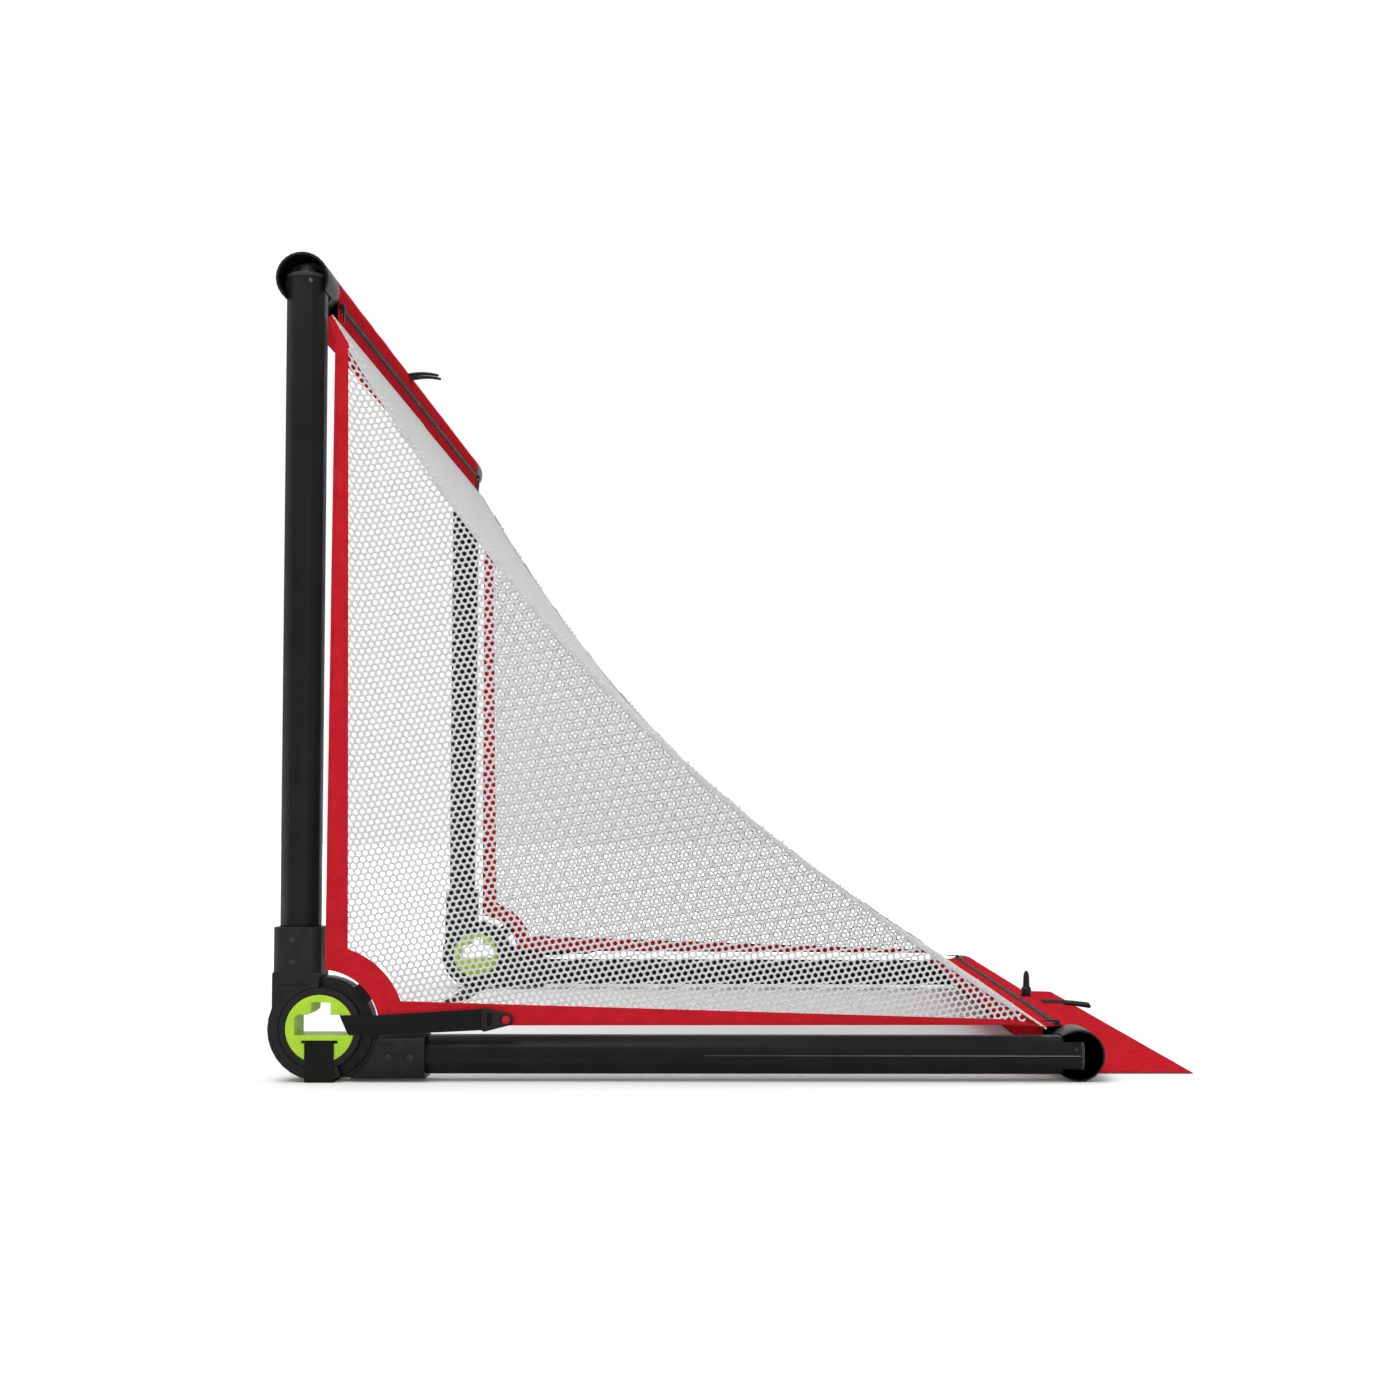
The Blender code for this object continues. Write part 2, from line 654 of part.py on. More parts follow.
def tube_cap(side, sign, post):
    """The domed cap in a side tube's free end."""
    name = f"{side}_{'post' if post else 'base'}_cap"
    plate = octagon(TUBE / 2, TUBE_CHAMFER)
    spigot = inset_octagon(TUBE_WALL + FIT)
    dome = [
        (0.0, CAP_PLATE + CAP_DOME),
        (CAP_NECK_RADIUS * 0.7, CAP_PLATE + CAP_DOME * 0.97),
        (CAP_NECK_RADIUS, CAP_PLATE + CAP_DOME * 0.86),
        (CAP_NECK_RADIUS * 1.25, CAP_PLATE + CAP_DOME * 0.5),
        (CAP_DOME_RADIUS, CAP_PLATE + CAP_DOME * 0.14),
        (CAP_DOME_RADIUS, CAP_PLATE * 0.5),
        (0.0, CAP_PLATE * 0.5),
    ]
    base = tube_end(post, sign)
    plane = FLAT if post else ALONG_Y
    way = 1 if post else -1
    cap = prism(name, [plate], CAP_PLATE, plane, base, way * CAP_PLATE / 2)
    inner = prism(
        name + "_spigot", [spigot], CAP_SPIGOT, plane, base, -way * (CAP_SPIGOT / 2 - FIT)
    )
    bell = turned(name + "_bell", dome, base)
    if not post:
        bell.rotation_euler = (math.radians(-90), 0, 0)
    join(cap, inner, bell)
    return cap


def corner_screw(side, sign, post):
    """The small screw through a tube's outer wall into its cap."""
    start = tube_end(post, sign, CAP_SPIGOT * 0.35)
    aside = Vector((0, CORNER_SCREW_AT, 0)) if post else Vector((0, 0, CORNER_SCREW_AT))
    face = sign * (HUB_X + TUBE / 2)
    spot = start + aside
    name = f"{side}_{'top' if post else 'rear'}_corner_screw"

    def at(x):
        return (x, spot.y, spot.z)

    top = face + sign * CORNER_SCREW_RISE
    tip = face - sign * CORNER_SCREW_REACH
    screw = rod(name, CORNER_SCREW_RADIUS, at(tip), at(top - sign * SCREW_HEAD / 2))
    head = rod(name + "_head", CORNER_SCREW_HEAD, at(face + sign * FIT), at(top))
    hole = rod(
        name + "_hole",
        CORNER_SCREW_RADIUS + FIT,
        at(tip - sign * FIT),
        at(face + sign * HOLE_OVER),
    )
    return finished(join(screw, head), "steel", smooth=True), hole


def knuckle_screws(side, sign, post):
    """Two screws and the tapped bar inside the tube that they pull on."""
    across, marks = POST_SCREW_AT if post else BASE_SCREW_AT
    face = sign * WIDTH / 2
    inner = sign * (HUB_X + TUBE / 2 - TUBE_WALL - FIT)
    name = f"{side}_{'post' if post else 'base'}_knuckle_screws"

    def spot(x, mark):
        if post:
            return (x, HUB_Y + across, HUB_Z + mark)
        return (x, HUB_Y + mark, HUB_Z + across)

    low = min(marks) - NUT_BAR_OVER
    high = max(marks) + NUT_BAR_OVER
    ends = [spot(inner - sign * NUT_BAR, low), spot(inner, high)]
    corner_a = [min(a, b) for a, b in zip(*ends)]
    corner_b = [max(a, b) for a, b in zip(*ends)]
    thin = 1 if post else 2
    corner_a[thin] -= NUT_BAR_WIDTH / 2
    corner_b[thin] += NUT_BAR_WIDTH / 2
    bar = block(name, corner_a, corner_b)
    shanks, holes = [], []
    for mark in marks:
        shanks.append(
            rod(
                name + "_shank",
                SCREW_RADIUS,
                spot(inner - sign * NUT_BAR * 0.5, mark),
                spot(face + sign * SCREW_HEAD * 0.6, mark),
            )
        )
        shanks.append(
            rod(
                name + "_head",
                SCREW_HEAD_RADIUS,
                spot(face + sign * FIT, mark),
                spot(face + sign * (FIT + SCREW_HEAD), mark),
            )
        )
        holes.append(
            rod(
                name + "_hole",
                SCREW_RADIUS + FIT,
                spot(inner - sign * NUT_BAR, mark),
                spot(face + sign * HOLE_OVER, mark),
            )
        )
    return finished(join(bar, *shanks), "screw", smooth=True), holes


def corner_shell(side, sign, rear):
    """The cup on a bar's end that a post or a base tube is capped in."""
    name = f"{side}_{'rear' if rear else 'top'}_corner_shell"
    wall_face = TUBE_INNER_X - FIT
    centre = bar_centre(rear)
    lead = 0.0 if rear else POST_LEAD - CROSSBAR_LEAD
    solid = circle(SHELL_RADIUS, BAR_STEPS, centre)
    middle = (SHELL_RIM + SHELL_END) / 2
    shell = prism(name, [solid], SHELL_LENGTH, along=sign * middle)
    deep = SHELL_RIM - wall_face + 0.010
    cavity = prism(
        name + "_cavity",
        [circle(SHELL_RADIUS - SHELL_WALL, BAR_STEPS, centre)],
        deep,
        along=sign * (wall_face + deep / 2),
    )
    half = TUBE / 2 + SHELL_SLOT
    post_side = -lead
    mouth = [
        (post_side - half, 0),
        (post_side - half, -SHELL_RADIUS * 1.3),
        (post_side + half, -SHELL_RADIUS * 1.3),
        (post_side + half, 0),
    ]
    slot = prism(
        name + "_slot",
        [round_bar(mouth, rear)],
        deep,
        along=sign * (wall_face + deep / 2),
    )
    socket = prism(
        name + "_socket",
        [circle(BAR_RADIUS + FIT, BAR_STEPS, centre)],
        SHELL_LENGTH * 3,
        along=sign * middle,
    )
    return finished(cut(shell, cavity, slot, socket), "frame", smooth=True)


def bar_tubes(rear):
    """The outer tube on the left, the inner tube on the right and the glide on its inner end."""
    label = "rear" if rear else "crossbar"
    centre = bar_centre(rear)
    reach = TUBE_INNER_X - 2 * FIT
    bore = BAR_RADIUS - BAR_WALL
    inner_radius = bore - 2 * RUN
    outer = prism(
        f"{label}_outer_tube",
        [circle(BAR_RADIUS, BAR_STEPS, centre), circle(bore, BAR_STEPS, centre)],
        reach + BAR_LAP / 2,
        along=(BAR_LAP / 2 - reach) / 2,
    )
    inner = prism(
        f"{label}_inner_tube",
        [circle(radius, BAR_STEPS, centre) for radius in (inner_radius, inner_radius - BAR_WALL)],
        reach + BAR_LAP / 2,
        along=(reach - BAR_LAP / 2) / 2,
    )
    end = -BAR_LAP / 2 - FIT
    glide = prism(
        f"{label}_glide",
        [circle(bore - RUN, BAR_STEPS, centre)],
        GLIDE_LENGTH,
        along=end - GLIDE_LENGTH / 2,
    )
    spigot = prism(
        f"{label}_glide_spigot",
        [circle(inner_radius - BAR_WALL - FIT, BAR_STEPS, centre)],
        GLIDE_SPIGOT + GLIDE_LENGTH / 2,
        along=end + (GLIDE_SPIGOT - GLIDE_LENGTH / 2) / 2,
    )
    finished(outer, "tube", smooth=True)
    finished(inner, "tube", smooth=True)
    finished(join(glide, spigot), "frame", smooth=True)


def tangent_turns(radius, tip):
    """The angles where the two tangents from a tip touch a circle about the bar's axis."""
    middle = math.degrees(math.atan2(tip.y, tip.x))
    spread = math.degrees(math.acos(radius / tip.length))
    return middle + spread, middle - spread


def tail_point(down, stand=0.0):
    """A point on the rear of the cover's tail, at a depth below the bar's axis."""
    seam = Vector((SEAM_OUT, -SEAM_DOWN))
    leave = math.radians(tangent_turns(COVER_RADIUS, seam)[0])
    top = Vector((math.cos(leave), math.sin(leave))) * COVER_RADIUS
    along = (seam - top).normalized()
    normal = Vector((-along.y, along.x))
    return top + along * ((down + top.y) / -along.y) + normal * stand


def cover_outline():
    """The section of the cloth cover round the crossbar: a drop with a skirt, and its zip."""
    seam = Vector((SEAM_OUT, -SEAM_DOWN))
    near, far = tangent_turns(COVER_RADIUS, seam)
    skirt = SEAM_OUT - CLOTH
    points = arc(COVER_RADIUS, near, far + 360, COVER_STEPS)
    points += [(skirt, -SEAM_DOWN), (skirt, -SKIRT_DOWN), (SEAM_OUT, -SKIRT_DOWN), tuple(seam)]
    for down, stand in ((0.5, 0.0), (0.5, 1.0), (-0.5, 1.0), (-0.5, 0.0)):
        points.append(tuple(tail_point(ZIP_DOWN + down * ZIP_WIDTH, stand * ZIP_STAND)))
    return points


def cover_hole():
    """The inside of the same cover."""
    tip = Vector((SEAM_OUT, -SEAM_DOWN))
    tip -= tip.normalized() * CLOTH * 2.4
    near, far = tangent_turns(COVER_RADIUS - CLOTH, tip)
    return arc(COVER_RADIUS - CLOTH, near, far + 360, COVER_STEPS) + [tuple(tip)]


def bar_cover(side, sign, rear):
    """Half of the cloth cover sewn round the crossbar or the rear bar."""
    name = f"{side}_{'rear' if rear else 'top'}_cover"
    start, end = HALF_GAP / 2, SHELL_END - FIT
    loops = [round_bar(cover_outline(), rear), round_bar(cover_hole(), rear)]
    cover = prism(name, loops, end - start, along=sign * (start + end) / 2)
    return finished(cover, "red", smooth=True)


def zip_pull(side, sign, rear):
    """A zip's slider and tab, at the corner shell's end of the zip."""
    low, top = ZIP_STAND + FIT, ZIP_STAND + FIT + PULL_BODY
    half = PULL_LENGTH / 2
    body = [
        tuple(tail_point(ZIP_DOWN + half, low)),
        tuple(tail_point(ZIP_DOWN + half, top)),
        tuple(tail_point(ZIP_DOWN - half, top)),
        tuple(tail_point(ZIP_DOWN - half, low)),
    ]
    tab = [
        tuple(tail_point(ZIP_DOWN + PULL_TAB, top - PULL_TAB_THICK)),
        tuple(tail_point(ZIP_DOWN + PULL_TAB, top + FIT)),
        tuple(tail_point(ZIP_DOWN, top + FIT)),
        tuple(tail_point(ZIP_DOWN, top - PULL_TAB_THICK)),
    ]
    name = f"{side}_{'rear' if rear else 'top'}_zip_pull"
    x = sign * (SHELL_END - PULL_INSET - PULL_WIDTH / 2)
    pull = prism(name, [round_bar(body, rear)], PULL_WIDTH, along=x)
    tongue = prism(name + "_tab", [round_bar(tab, rear)], PULL_WIDTH * 0.7, along=x)
    return finished(join(pull, tongue), "zip", smooth=False)


def leaned(obj, sign):
    """Leans a flat side cloth inwards, the more the further it is from the hub."""
    turn = obj.matrix_world.copy()
    back = turn.inverted()
    for vertex in obj.data.vertices:
        place = turn @ vertex.co
        level = (place.y - HUB_Y) + (place.z - HUB_Z) - SIDE_LEVEL
        place.x -= sign * SIDE_LEAN * level
        vertex.co = back @ place
    return obj


def side_cloth(name, sign, loops):
    x = sign * (WIDTH / 2 - SIDE_INSET)
    return leaned(prism(name, loops, CLOTH, along=x), sign)


def front_border_outline():
    """The red edge of the side net behind the post."""
    seam = sag_point(0.0)
    top = seam.y - BORDER_SEAM_DROP
    low_rear = BORDER_FRONT + BORDER_LOW_WIDTH
    return [
        (BORDER_FRONT, on_circle(ARC_INNER, BORDER_FRONT) + BORDER_LAP),
        (low_rear, on_circle(ARC_OUTER, low_rear)),
        (BORDER_FRONT + BORDER_TOP_WIDTH, sag_point(NET_TOP).y - BORDER_SEAM_DROP),
        (seam.x + BORDER_TIP / 2, top),
        (seam.x - BORDER_TIP / 2, top - BORDER_TIP),
        (BORDER_FRONT, top - BORDER_TOP_RUN),
    ]


def bottom_border_outline():
    """The red edge that runs round the hub and along the base tube to the rear bar."""
    start = math.degrees(math.acos(BORDER_FRONT / ARC_INNER)) - BORDER_TURN
    far = math.degrees(math.acos((BORDER_FRONT + BORDER_LOW_WIDTH) / ARC_OUTER)) - BORDER_TURN
    low = math.degrees(math.asin(BORDER_LOW / ARC_INNER))
    low_far = math.degrees(math.asin(BORDER_LOW_TOP / ARC_OUTER))
    rear = sag_point(1.0)
    return (
        arc(ARC_INNER, start, low, 10)
        + [(rear.x - BORDER_REAR_RUN, BORDER_LOW), (rear.x, rear.y + BORDER_SEAM_DROP)]
        + [(sag_point(NET_REAR).x, BORDER_REAR_TOP)]
        + arc(ARC_OUTER, low_far, far, 10)
    )


def side_net_outline():
    """The net between the red edges and the back net's curve."""
    front = BORDER_FRONT + BORDER_LOW_WIDTH + NET_CLEAR
    hub_arc = ARC_OUTER + NET_CLEAR
    bottom_turn = math.degrees(math.asin((BORDER_LOW_TOP + NET_CLEAR) / hub_arc))
    top_turn = math.degrees(math.acos(front / hub_arc))
    first, last = NET_TOP + NET_LEDGE, NET_REAR - NET_LEDGE
    edge = [tuple(sag_point(first + (last - first) * k / 16)) for k in range(17)]
    start = [(BORDER_FRONT + BORDER_TOP_WIDTH + NET_CLEAR, edge[0][1] - NET_LEDGE)]
    low = [(edge[-1][0], BORDER_REAR_TOP + NET_CLEAR + BORDER_TIP / 2)]
    return start + edge + low + arc(hub_arc, bottom_turn, top_turn, 8)


def side_cloths(side, sign):
    finished(side_cloth(f"{side}_front_border", sign, [front_border_outline()]), "red")
    finished(side_cloth(f"{side}_bottom_border", sign, [bottom_border_outline()]), "red")
    outline = side_net_outline()
    loops = [outline] + net_gaps(outline, NET_SIDE_PITCH)
    finished(side_cloth(f"{side}_side_net", sign, loops), "net")


def back_net(side, sign):
    """Half of the back net, cut flat and then bent to its sag."""
    length = chord_length()
    inner, outer = HALF_GAP / 2, side_edge(0.5)
    reach = length - 2 * BACK_MARGIN
    ups = [BACK_MARGIN + reach * k / BACK_ROWS for k in range(BACK_ROWS + 1)]
    outline = [(inner, up) for up in ups] + [(outer, up) for up in reversed(ups)]
    loops = [outline] + net_gaps(outline, NET_BACK_PITCH)
    loops = [[(sign * x, y) for x, y in loop] for loop in loops]
    net = prism(f"{side}_back_net", loops, CLOTH, FLAT, Vector((0, 0, 0)))
    for vertex in net.data.vertices:
        share = vertex.co.y / length
        here = sag_point(share)
        ahead = sag_point(min(share + 0.01, 1.0)) - sag_point(share - 0.01)
        normal = Vector((-ahead.y, ahead.x)).normalized()
        place = here + normal * vertex.co.z
        vertex.co = (vertex.co.x, HUB_Y + place.x, HUB_Z + place.y)
    repair = bmesh.new()
    repair.from_mesh(net.data)
    bmesh.ops.recalc_face_normals(repair, faces=repair.faces)
    repair.to_mesh(net.data)
    repair.free()
    return finished(net, "net")


def side_edge(share):
    """Where the leaned side cloth's inner face is at the back net's curve."""
    here = sag_point(share)
    level = here.x + here.y - SIDE_LEVEL
    return WIDTH / 2 - SIDE_INSET - SIDE_LEAN * level - CLOTH / 2 - BACK_CLEAR


def ground_flap(side, sign):
    """Half of the cloth that lies on the ground behind the rear bar."""
    start = REAR_REACH + on_circle(COVER_RADIUS + FIT, BASE_Z - CLOTH)
    near = (HALF_GAP / 2, start)
    loops = [[near, (FLAP_HALF, start), (FLAP_HALF, FLAP_REACH), (HALF_GAP / 2, FLAP_REACH)]]
    loops = [[(sign * x, y) for x, y in loop] for loop in loops]
    at = Vector((0, HUB_Y, CLOTH / 2))
    return finished(prism(f"{side}_ground_flap", loops, CLOTH, FLAT, at), "red")


def goal_line_strap(side, sign):
    """Half of the webbing on the goal line, which turns up round the hub and into its slot."""
    face = WIDTH / 2 + FIT + WEB / 2
    bend = WEB * 0.4
    ground = WEB / 2 - HUB_Z
    path = [
        (WIDTH / 2 - SLOT_DEPTH * 0.8, -SLOT_DROP),
        (face - bend, -SLOT_DROP),
        (face, -SLOT_DROP - bend),
        (face, ground + bend),
        (face - bend, ground),
        (HALF_GAP / 2, ground),
    ]
    outline = [(sign * x, y) for x, y in ribbon(path, WEB)]
    at = Vector((0, HUB_Y, HUB_Z))
    return finished(prism(f"{side}_goal_line_strap", [outline], GOAL_WEB, ALONG_Y, at), "web")


def cloth_face(behind, above):
    """X of the side cloth's outer face at a point."""
    level = behind + above - SIDE_LEVEL
    return WIDTH / 2 - SIDE_INSET - SIDE_LEAN * level + CLOTH / 2


def tension_strap(side, sign):
    """The webbing from the hub's window to the buckle on the bottom border."""
    face = WIDTH / 2 + FIT + WEB / 2
    end_face = cloth_face(BUCKLE_START, BUCKLE_RISE) + 2 * FIT + BUCKLE_THICK / 2
    path = [
        (WIDTH / 2 - TENSION_DEPTH, TENSION_INNER),
        (face - TENSION_BEND / 2, TENSION_INNER + TENSION_BEND / 4),
        (face, TENSION_INNER + TENSION_BEND),
        (face, TENSION_OVER),
        (end_face, BUCKLE_START - FIT),
    ]
    outline = [(sign * x, y) for x, y in ribbon(path, WEB)]
    at = Vector((0, HUB_Y, HUB_Z + TENSION_RISE))
    strap = prism(f"{side}_tension_strap", [outline], TENSION_WEB, FLAT, at)
    for vertex in strap.data.vertices:
        share = (vertex.co.y - TENSION_OVER) / (BUCKLE_START - TENSION_OVER)
        vertex.co.z += (BUCKLE_RISE - TENSION_RISE) * min(max(share, 0.0), 1.0)
    return finished(strap, "web")


def tension_buckle(side, sign):
    """The three-sided loop that pulls on the bottom border."""
    half = BUCKLE_HEIGHT / 2
    start, end = BUCKLE_START, BUCKLE_START + BUCKLE_LENGTH
    outline = [
        (start, BUCKLE_RISE - half),
        (end, BUCKLE_RISE - BUCKLE_TIP / 2),
        (end, BUCKLE_RISE + BUCKLE_TIP / 2),
        (start, BUCKLE_RISE + half),
    ]
    near, far = start + BUCKLE_FRAME, start + BUCKLE_FRAME + BUCKLE_SLOT
    tall = half - BUCKLE_FRAME - FIT
    hole = [
        (near, BUCKLE_RISE - tall),
        (far, BUCKLE_RISE - tall + BUCKLE_TAPER),
        (far, BUCKLE_RISE + tall - BUCKLE_TAPER),
        (near, BUCKLE_RISE + tall),
    ]
    eye = circle(BUCKLE_EYE, SCREW_STEPS, (end - BUCKLE_TIP, BUCKLE_RISE))
    x = cloth_face(start, BUCKLE_RISE) + FIT + BUCKLE_THICK / 2
    loops = [rounded(outline, BUCKLE_ROUND), hole, eye]
    buckle = prism(f"{side}_tension_buckle", loops, BUCKLE_THICK, along=sign * x)
    return finished(buckle, "frame")


def top_bundle_strap():
    """The two-pronged tab on the crossbar's cover."""
    reach = on_circle(COVER_RADIUS, TOP_BUNDLE_RISE - TOP_BUNDLE_THICK / 2) + FIT
    half, prong = TOP_BUNDLE_WIDTH / 2, TOP_BUNDLE_PRONG
    root, tip = reach + TOP_BUNDLE_ROOT, reach + TOP_BUNDLE_REACH
    outline = [
        (-half, reach),
        (half, reach),
        (half, tip),
        (half - prong, tip),
        (half - prong, root),
        (-half + prong, root),
        (-half + prong, tip),
        (-half, tip),
    ]
    behind, above = bar_centre(False)
    at = Vector((TOP_BUNDLE_X, HUB_Y + behind, HUB_Z + above + TOP_BUNDLE_RISE))
    outline = rounded(outline, TOP_BUNDLE_ROUND)
    tab = prism("top_bundle_strap", [outline], TOP_BUNDLE_THICK, FLAT, at)
    return finished(tab, "web")


def rear_bundle_strap():
    """The upright buckle on the rear bar's cover."""
    behind, above = bar_centre(True)
    low = COVER_RADIUS + FIT
    half, neck = REAR_BUNDLE_WIDTH / 2, REAR_BUNDLE_TIP / 2
    shoulder, tip = low + REAR_BUNDLE_SHOULDER, low + REAR_BUNDLE_HEIGHT
    slope = half - neck
    right = [(half, low), (half, shoulder), (neck, shoulder + slope), (neck, tip)]
    outline = right + [(-x, y) for x, y in reversed(right)]
    at = Vector((REAR_BUNDLE_X, HUB_Y + behind, HUB_Z + above))
    buckle = prism("rear_bundle_strap", [outline], REAR_BUNDLE_THICK, ALONG_Y, at)
    return finished(buckle, "web")


def side_frame(side, sign):
    base_bush = base_knuckle(side, sign)
    post_bush = post_knuckle(side, sign)
    hub_core(side, sign)
    hub_ring(side, sign)
    for post, knuckle in ((True, post_bush), (False, base_bush)):
        tube = side_tube(side, sign, post)
        cap = tube_cap(side, sign, post)
        _, corner_hole = corner_screw(side, sign, post)
        _, holes = knuckle_screws(side, sign, post)
        cut(tube, corner_hole, *holes)
        cut(cap, corner_hole)
        cut(knuckle, *holes)
        finished(tube, "tube", smooth=True)
        finished(cap, "cap", smooth=True)
        corner_shell(side, sign, rear=not post)


def soft_goods(side, sign):
    side_cloths(side, sign)
    back_net(side, sign)
    ground_flap(side, sign)
    goal_line_strap(side, sign)
    tension_strap(side, sign)
    tension_buckle(side, sign)
    for rear in (False, True):
        bar_cover(side, sign, rear)
        zip_pull(side, sign, rear)


for side_name, side_sign in SIDES.items():
    side_frame(side_name, side_sign)
    soft_goods(side_name, side_sign)
for is_rear in (False, True):
    bar_tubes(is_rear)
top_bundle_strap()
rear_bundle_strap()
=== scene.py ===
import json
import math
from contextlib import contextmanager
from functools import partial

import bmesh
import bpy
import numpy as np
from mathutils import Matrix, Vector

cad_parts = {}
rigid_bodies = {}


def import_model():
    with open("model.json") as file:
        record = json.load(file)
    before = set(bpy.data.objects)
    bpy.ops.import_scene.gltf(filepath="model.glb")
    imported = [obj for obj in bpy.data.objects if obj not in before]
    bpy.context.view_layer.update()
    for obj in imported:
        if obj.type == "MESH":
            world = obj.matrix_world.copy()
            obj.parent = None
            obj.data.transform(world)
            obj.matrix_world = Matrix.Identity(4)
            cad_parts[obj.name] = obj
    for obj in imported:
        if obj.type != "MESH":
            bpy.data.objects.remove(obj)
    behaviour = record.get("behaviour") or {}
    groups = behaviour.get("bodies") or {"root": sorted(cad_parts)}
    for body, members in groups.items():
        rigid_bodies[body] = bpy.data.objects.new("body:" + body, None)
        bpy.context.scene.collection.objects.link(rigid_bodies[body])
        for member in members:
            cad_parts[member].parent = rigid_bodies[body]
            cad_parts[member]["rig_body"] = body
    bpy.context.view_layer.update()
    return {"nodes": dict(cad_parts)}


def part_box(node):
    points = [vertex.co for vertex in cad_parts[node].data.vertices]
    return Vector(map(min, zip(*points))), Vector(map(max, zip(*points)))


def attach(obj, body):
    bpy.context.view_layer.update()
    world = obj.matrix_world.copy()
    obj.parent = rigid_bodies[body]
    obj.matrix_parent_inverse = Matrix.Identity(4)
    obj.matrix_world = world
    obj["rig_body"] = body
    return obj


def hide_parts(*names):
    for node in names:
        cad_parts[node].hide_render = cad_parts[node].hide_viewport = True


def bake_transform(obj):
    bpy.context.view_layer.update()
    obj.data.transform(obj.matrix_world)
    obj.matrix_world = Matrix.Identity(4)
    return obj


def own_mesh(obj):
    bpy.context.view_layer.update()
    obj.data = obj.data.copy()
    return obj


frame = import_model()
nodes = frame["nodes"]
sides = {"left": -1, "right": 1}


def middle(node):
    low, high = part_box(node)
    return (low + high) / 2


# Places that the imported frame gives, in metres
hub = middle("right_hub_core")
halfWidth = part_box("right_hub_core")[1].x
crossbar = middle("crossbar_outer_tube")
rearBar = middle("rear_outer_tube")
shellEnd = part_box("right_top_corner_shell")[0].x
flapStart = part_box("right_ground_flap")[0].y
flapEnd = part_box("right_ground_flap")[1].y
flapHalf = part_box("right_ground_flap")[1].x
barRise = crossbar.z - hub.z
rearReach = rearBar.y - hub.y
baseDrop = hub.z - rearBar.z
crossbarLead = hub.y - crossbar.y

# The cloth's cut, in metres from the hub's axis or from a bar's axis
cut = {
    "clothThick": 0.0016,
    "sideInset": 0.0068,  # the side cloth's middle lies this far inside the hub's face
    "sideLean": 0.030,  # how far it leans in for each metre up and back
    "sideLevel": 0.250,
    "seamOut": 0.0360,  # where the back net is sewn to a sleeve
    "seamDown": 0.0450,
    "skirtDown": 0.0850,
    "coverRadius": 0.0375,
    "zipDown": 0.0190,
    "sag": 0.103,
    "sagBias": 0.94,
    "frontEdge": 0.0065,
    "frontTopWidth": 0.0190,
    "frontLowWidth": 0.0320,
    "arcInner": 0.0850,  # the bottom edge's curve round the hub
    "arcOuter": 0.1210,
    "lowEdge": 0.0050,
    "lowTop": 0.0400,
    "rearTop": 0.0125,
    "frontLap": 0.0004,
    "seamDrop": 0.0040,
    "netTop": 0.036,  # shares of the sag curve where the side cloth begins and ends
    "netRear": 0.962,
    "halfGap": 0.0002,
}

topSeam = np.array([cut["seamOut"] - crossbarLead, barRise - cut["seamDown"]])
rearSeam = np.array([rearReach - cut["seamDown"], cut["seamOut"] - baseDrop])


def sagPoint(share):
    # the back net's curve in the side plane, behind and above the hub's axis
    share = np.asarray(share, float)
    chord = rearSeam - topSeam
    inwards = np.array([chord[1], -chord[0]]) / np.linalg.norm(chord)
    drop = cut["sag"] * np.sin(np.pi * np.clip(share, 0, 1) ** cut["sagBias"])
    return topSeam + share[..., None] * chord + drop[..., None] * inwards


def faceX(behind, above):
    # middle of the side cloth, on the right; it leans inwards with height and depth
    level = behind + above - cut["sideLevel"]
    return halfWidth - cut["sideInset"] - cut["sideLean"] * level


unevenness = {"waves": 5, "shortest": 0.6, "longest": 1.7, "gain": 1.5}


def ripple(u, v, wave, seed):
    # smooth unevenness between about -1 and 1, the same each run
    turn = np.random.default_rng(seed)
    total = 0 * np.asarray(u, float)
    for _ in range(unevenness["waves"]):
        angle, phase = turn.uniform(0, 2 * np.pi, 2)
        size = wave * turn.uniform(unevenness["shortest"], unevenness["longest"])
        way = np.cos(angle) * u + np.sin(angle) * v
        total = total + np.sin(2 * np.pi * way / size + phase)
    return total / unevenness["waves"] * unevenness["gain"]


print("materials")


def feed(node, inputs):
    # each input is linked to a socket or set to a value
    for name, value in inputs.items():
        if isinstance(value, bpy.types.NodeSocket):
            node.id_data.links.new(value, node.inputs[name])
        else:
            node.inputs[name].default_value = value
    return node


def added(tree, kind, inputs):
    return feed(tree.nodes.new(kind), inputs)


def calc(tree, operation, *values):
    node = added(tree, "ShaderNodeMath", dict(enumerate(values)))
    node.operation = operation
    return node.outputs[0]


def noiseOf(tree, vector, scale, detail, roughness=0.5):
    inputs = {"Vector": vector, "Scale": scale, "Detail": detail, "Roughness": roughness}
    return added(tree, "ShaderNodeTexNoise", inputs).outputs["Fac"]


def ranged(tree, value, low, high, fromLow=0.3, fromHigh=0.7):
    inputs = {"Value": value, "From Min": fromLow, "From Max": fromHigh}
    inputs.update({"To Min": low, "To Max": high})
    return added(tree, "ShaderNodeMapRange", inputs).outputs["Result"]


def mixed(tree, share, first, second):
    node = tree.nodes.new("ShaderNodeMix")
    node.data_type = "RGBA"
    colours = [place for place, socket in enumerate(node.inputs) if socket.type == "RGBA"]
    values = [(*value, 1) if isinstance(value, tuple) else value for value in (first, second)]
    feed(node, {"Factor": share, **dict(zip(colours, values))})
    return next(out for out in node.outputs if out.type == "RGBA")


def bumped(tree, height, depth, strength=1.0):
    inputs = {"Height": height, "Distance": depth, "Strength": strength}
    return added(tree, "ShaderNodeBump", inputs).outputs["Normal"]


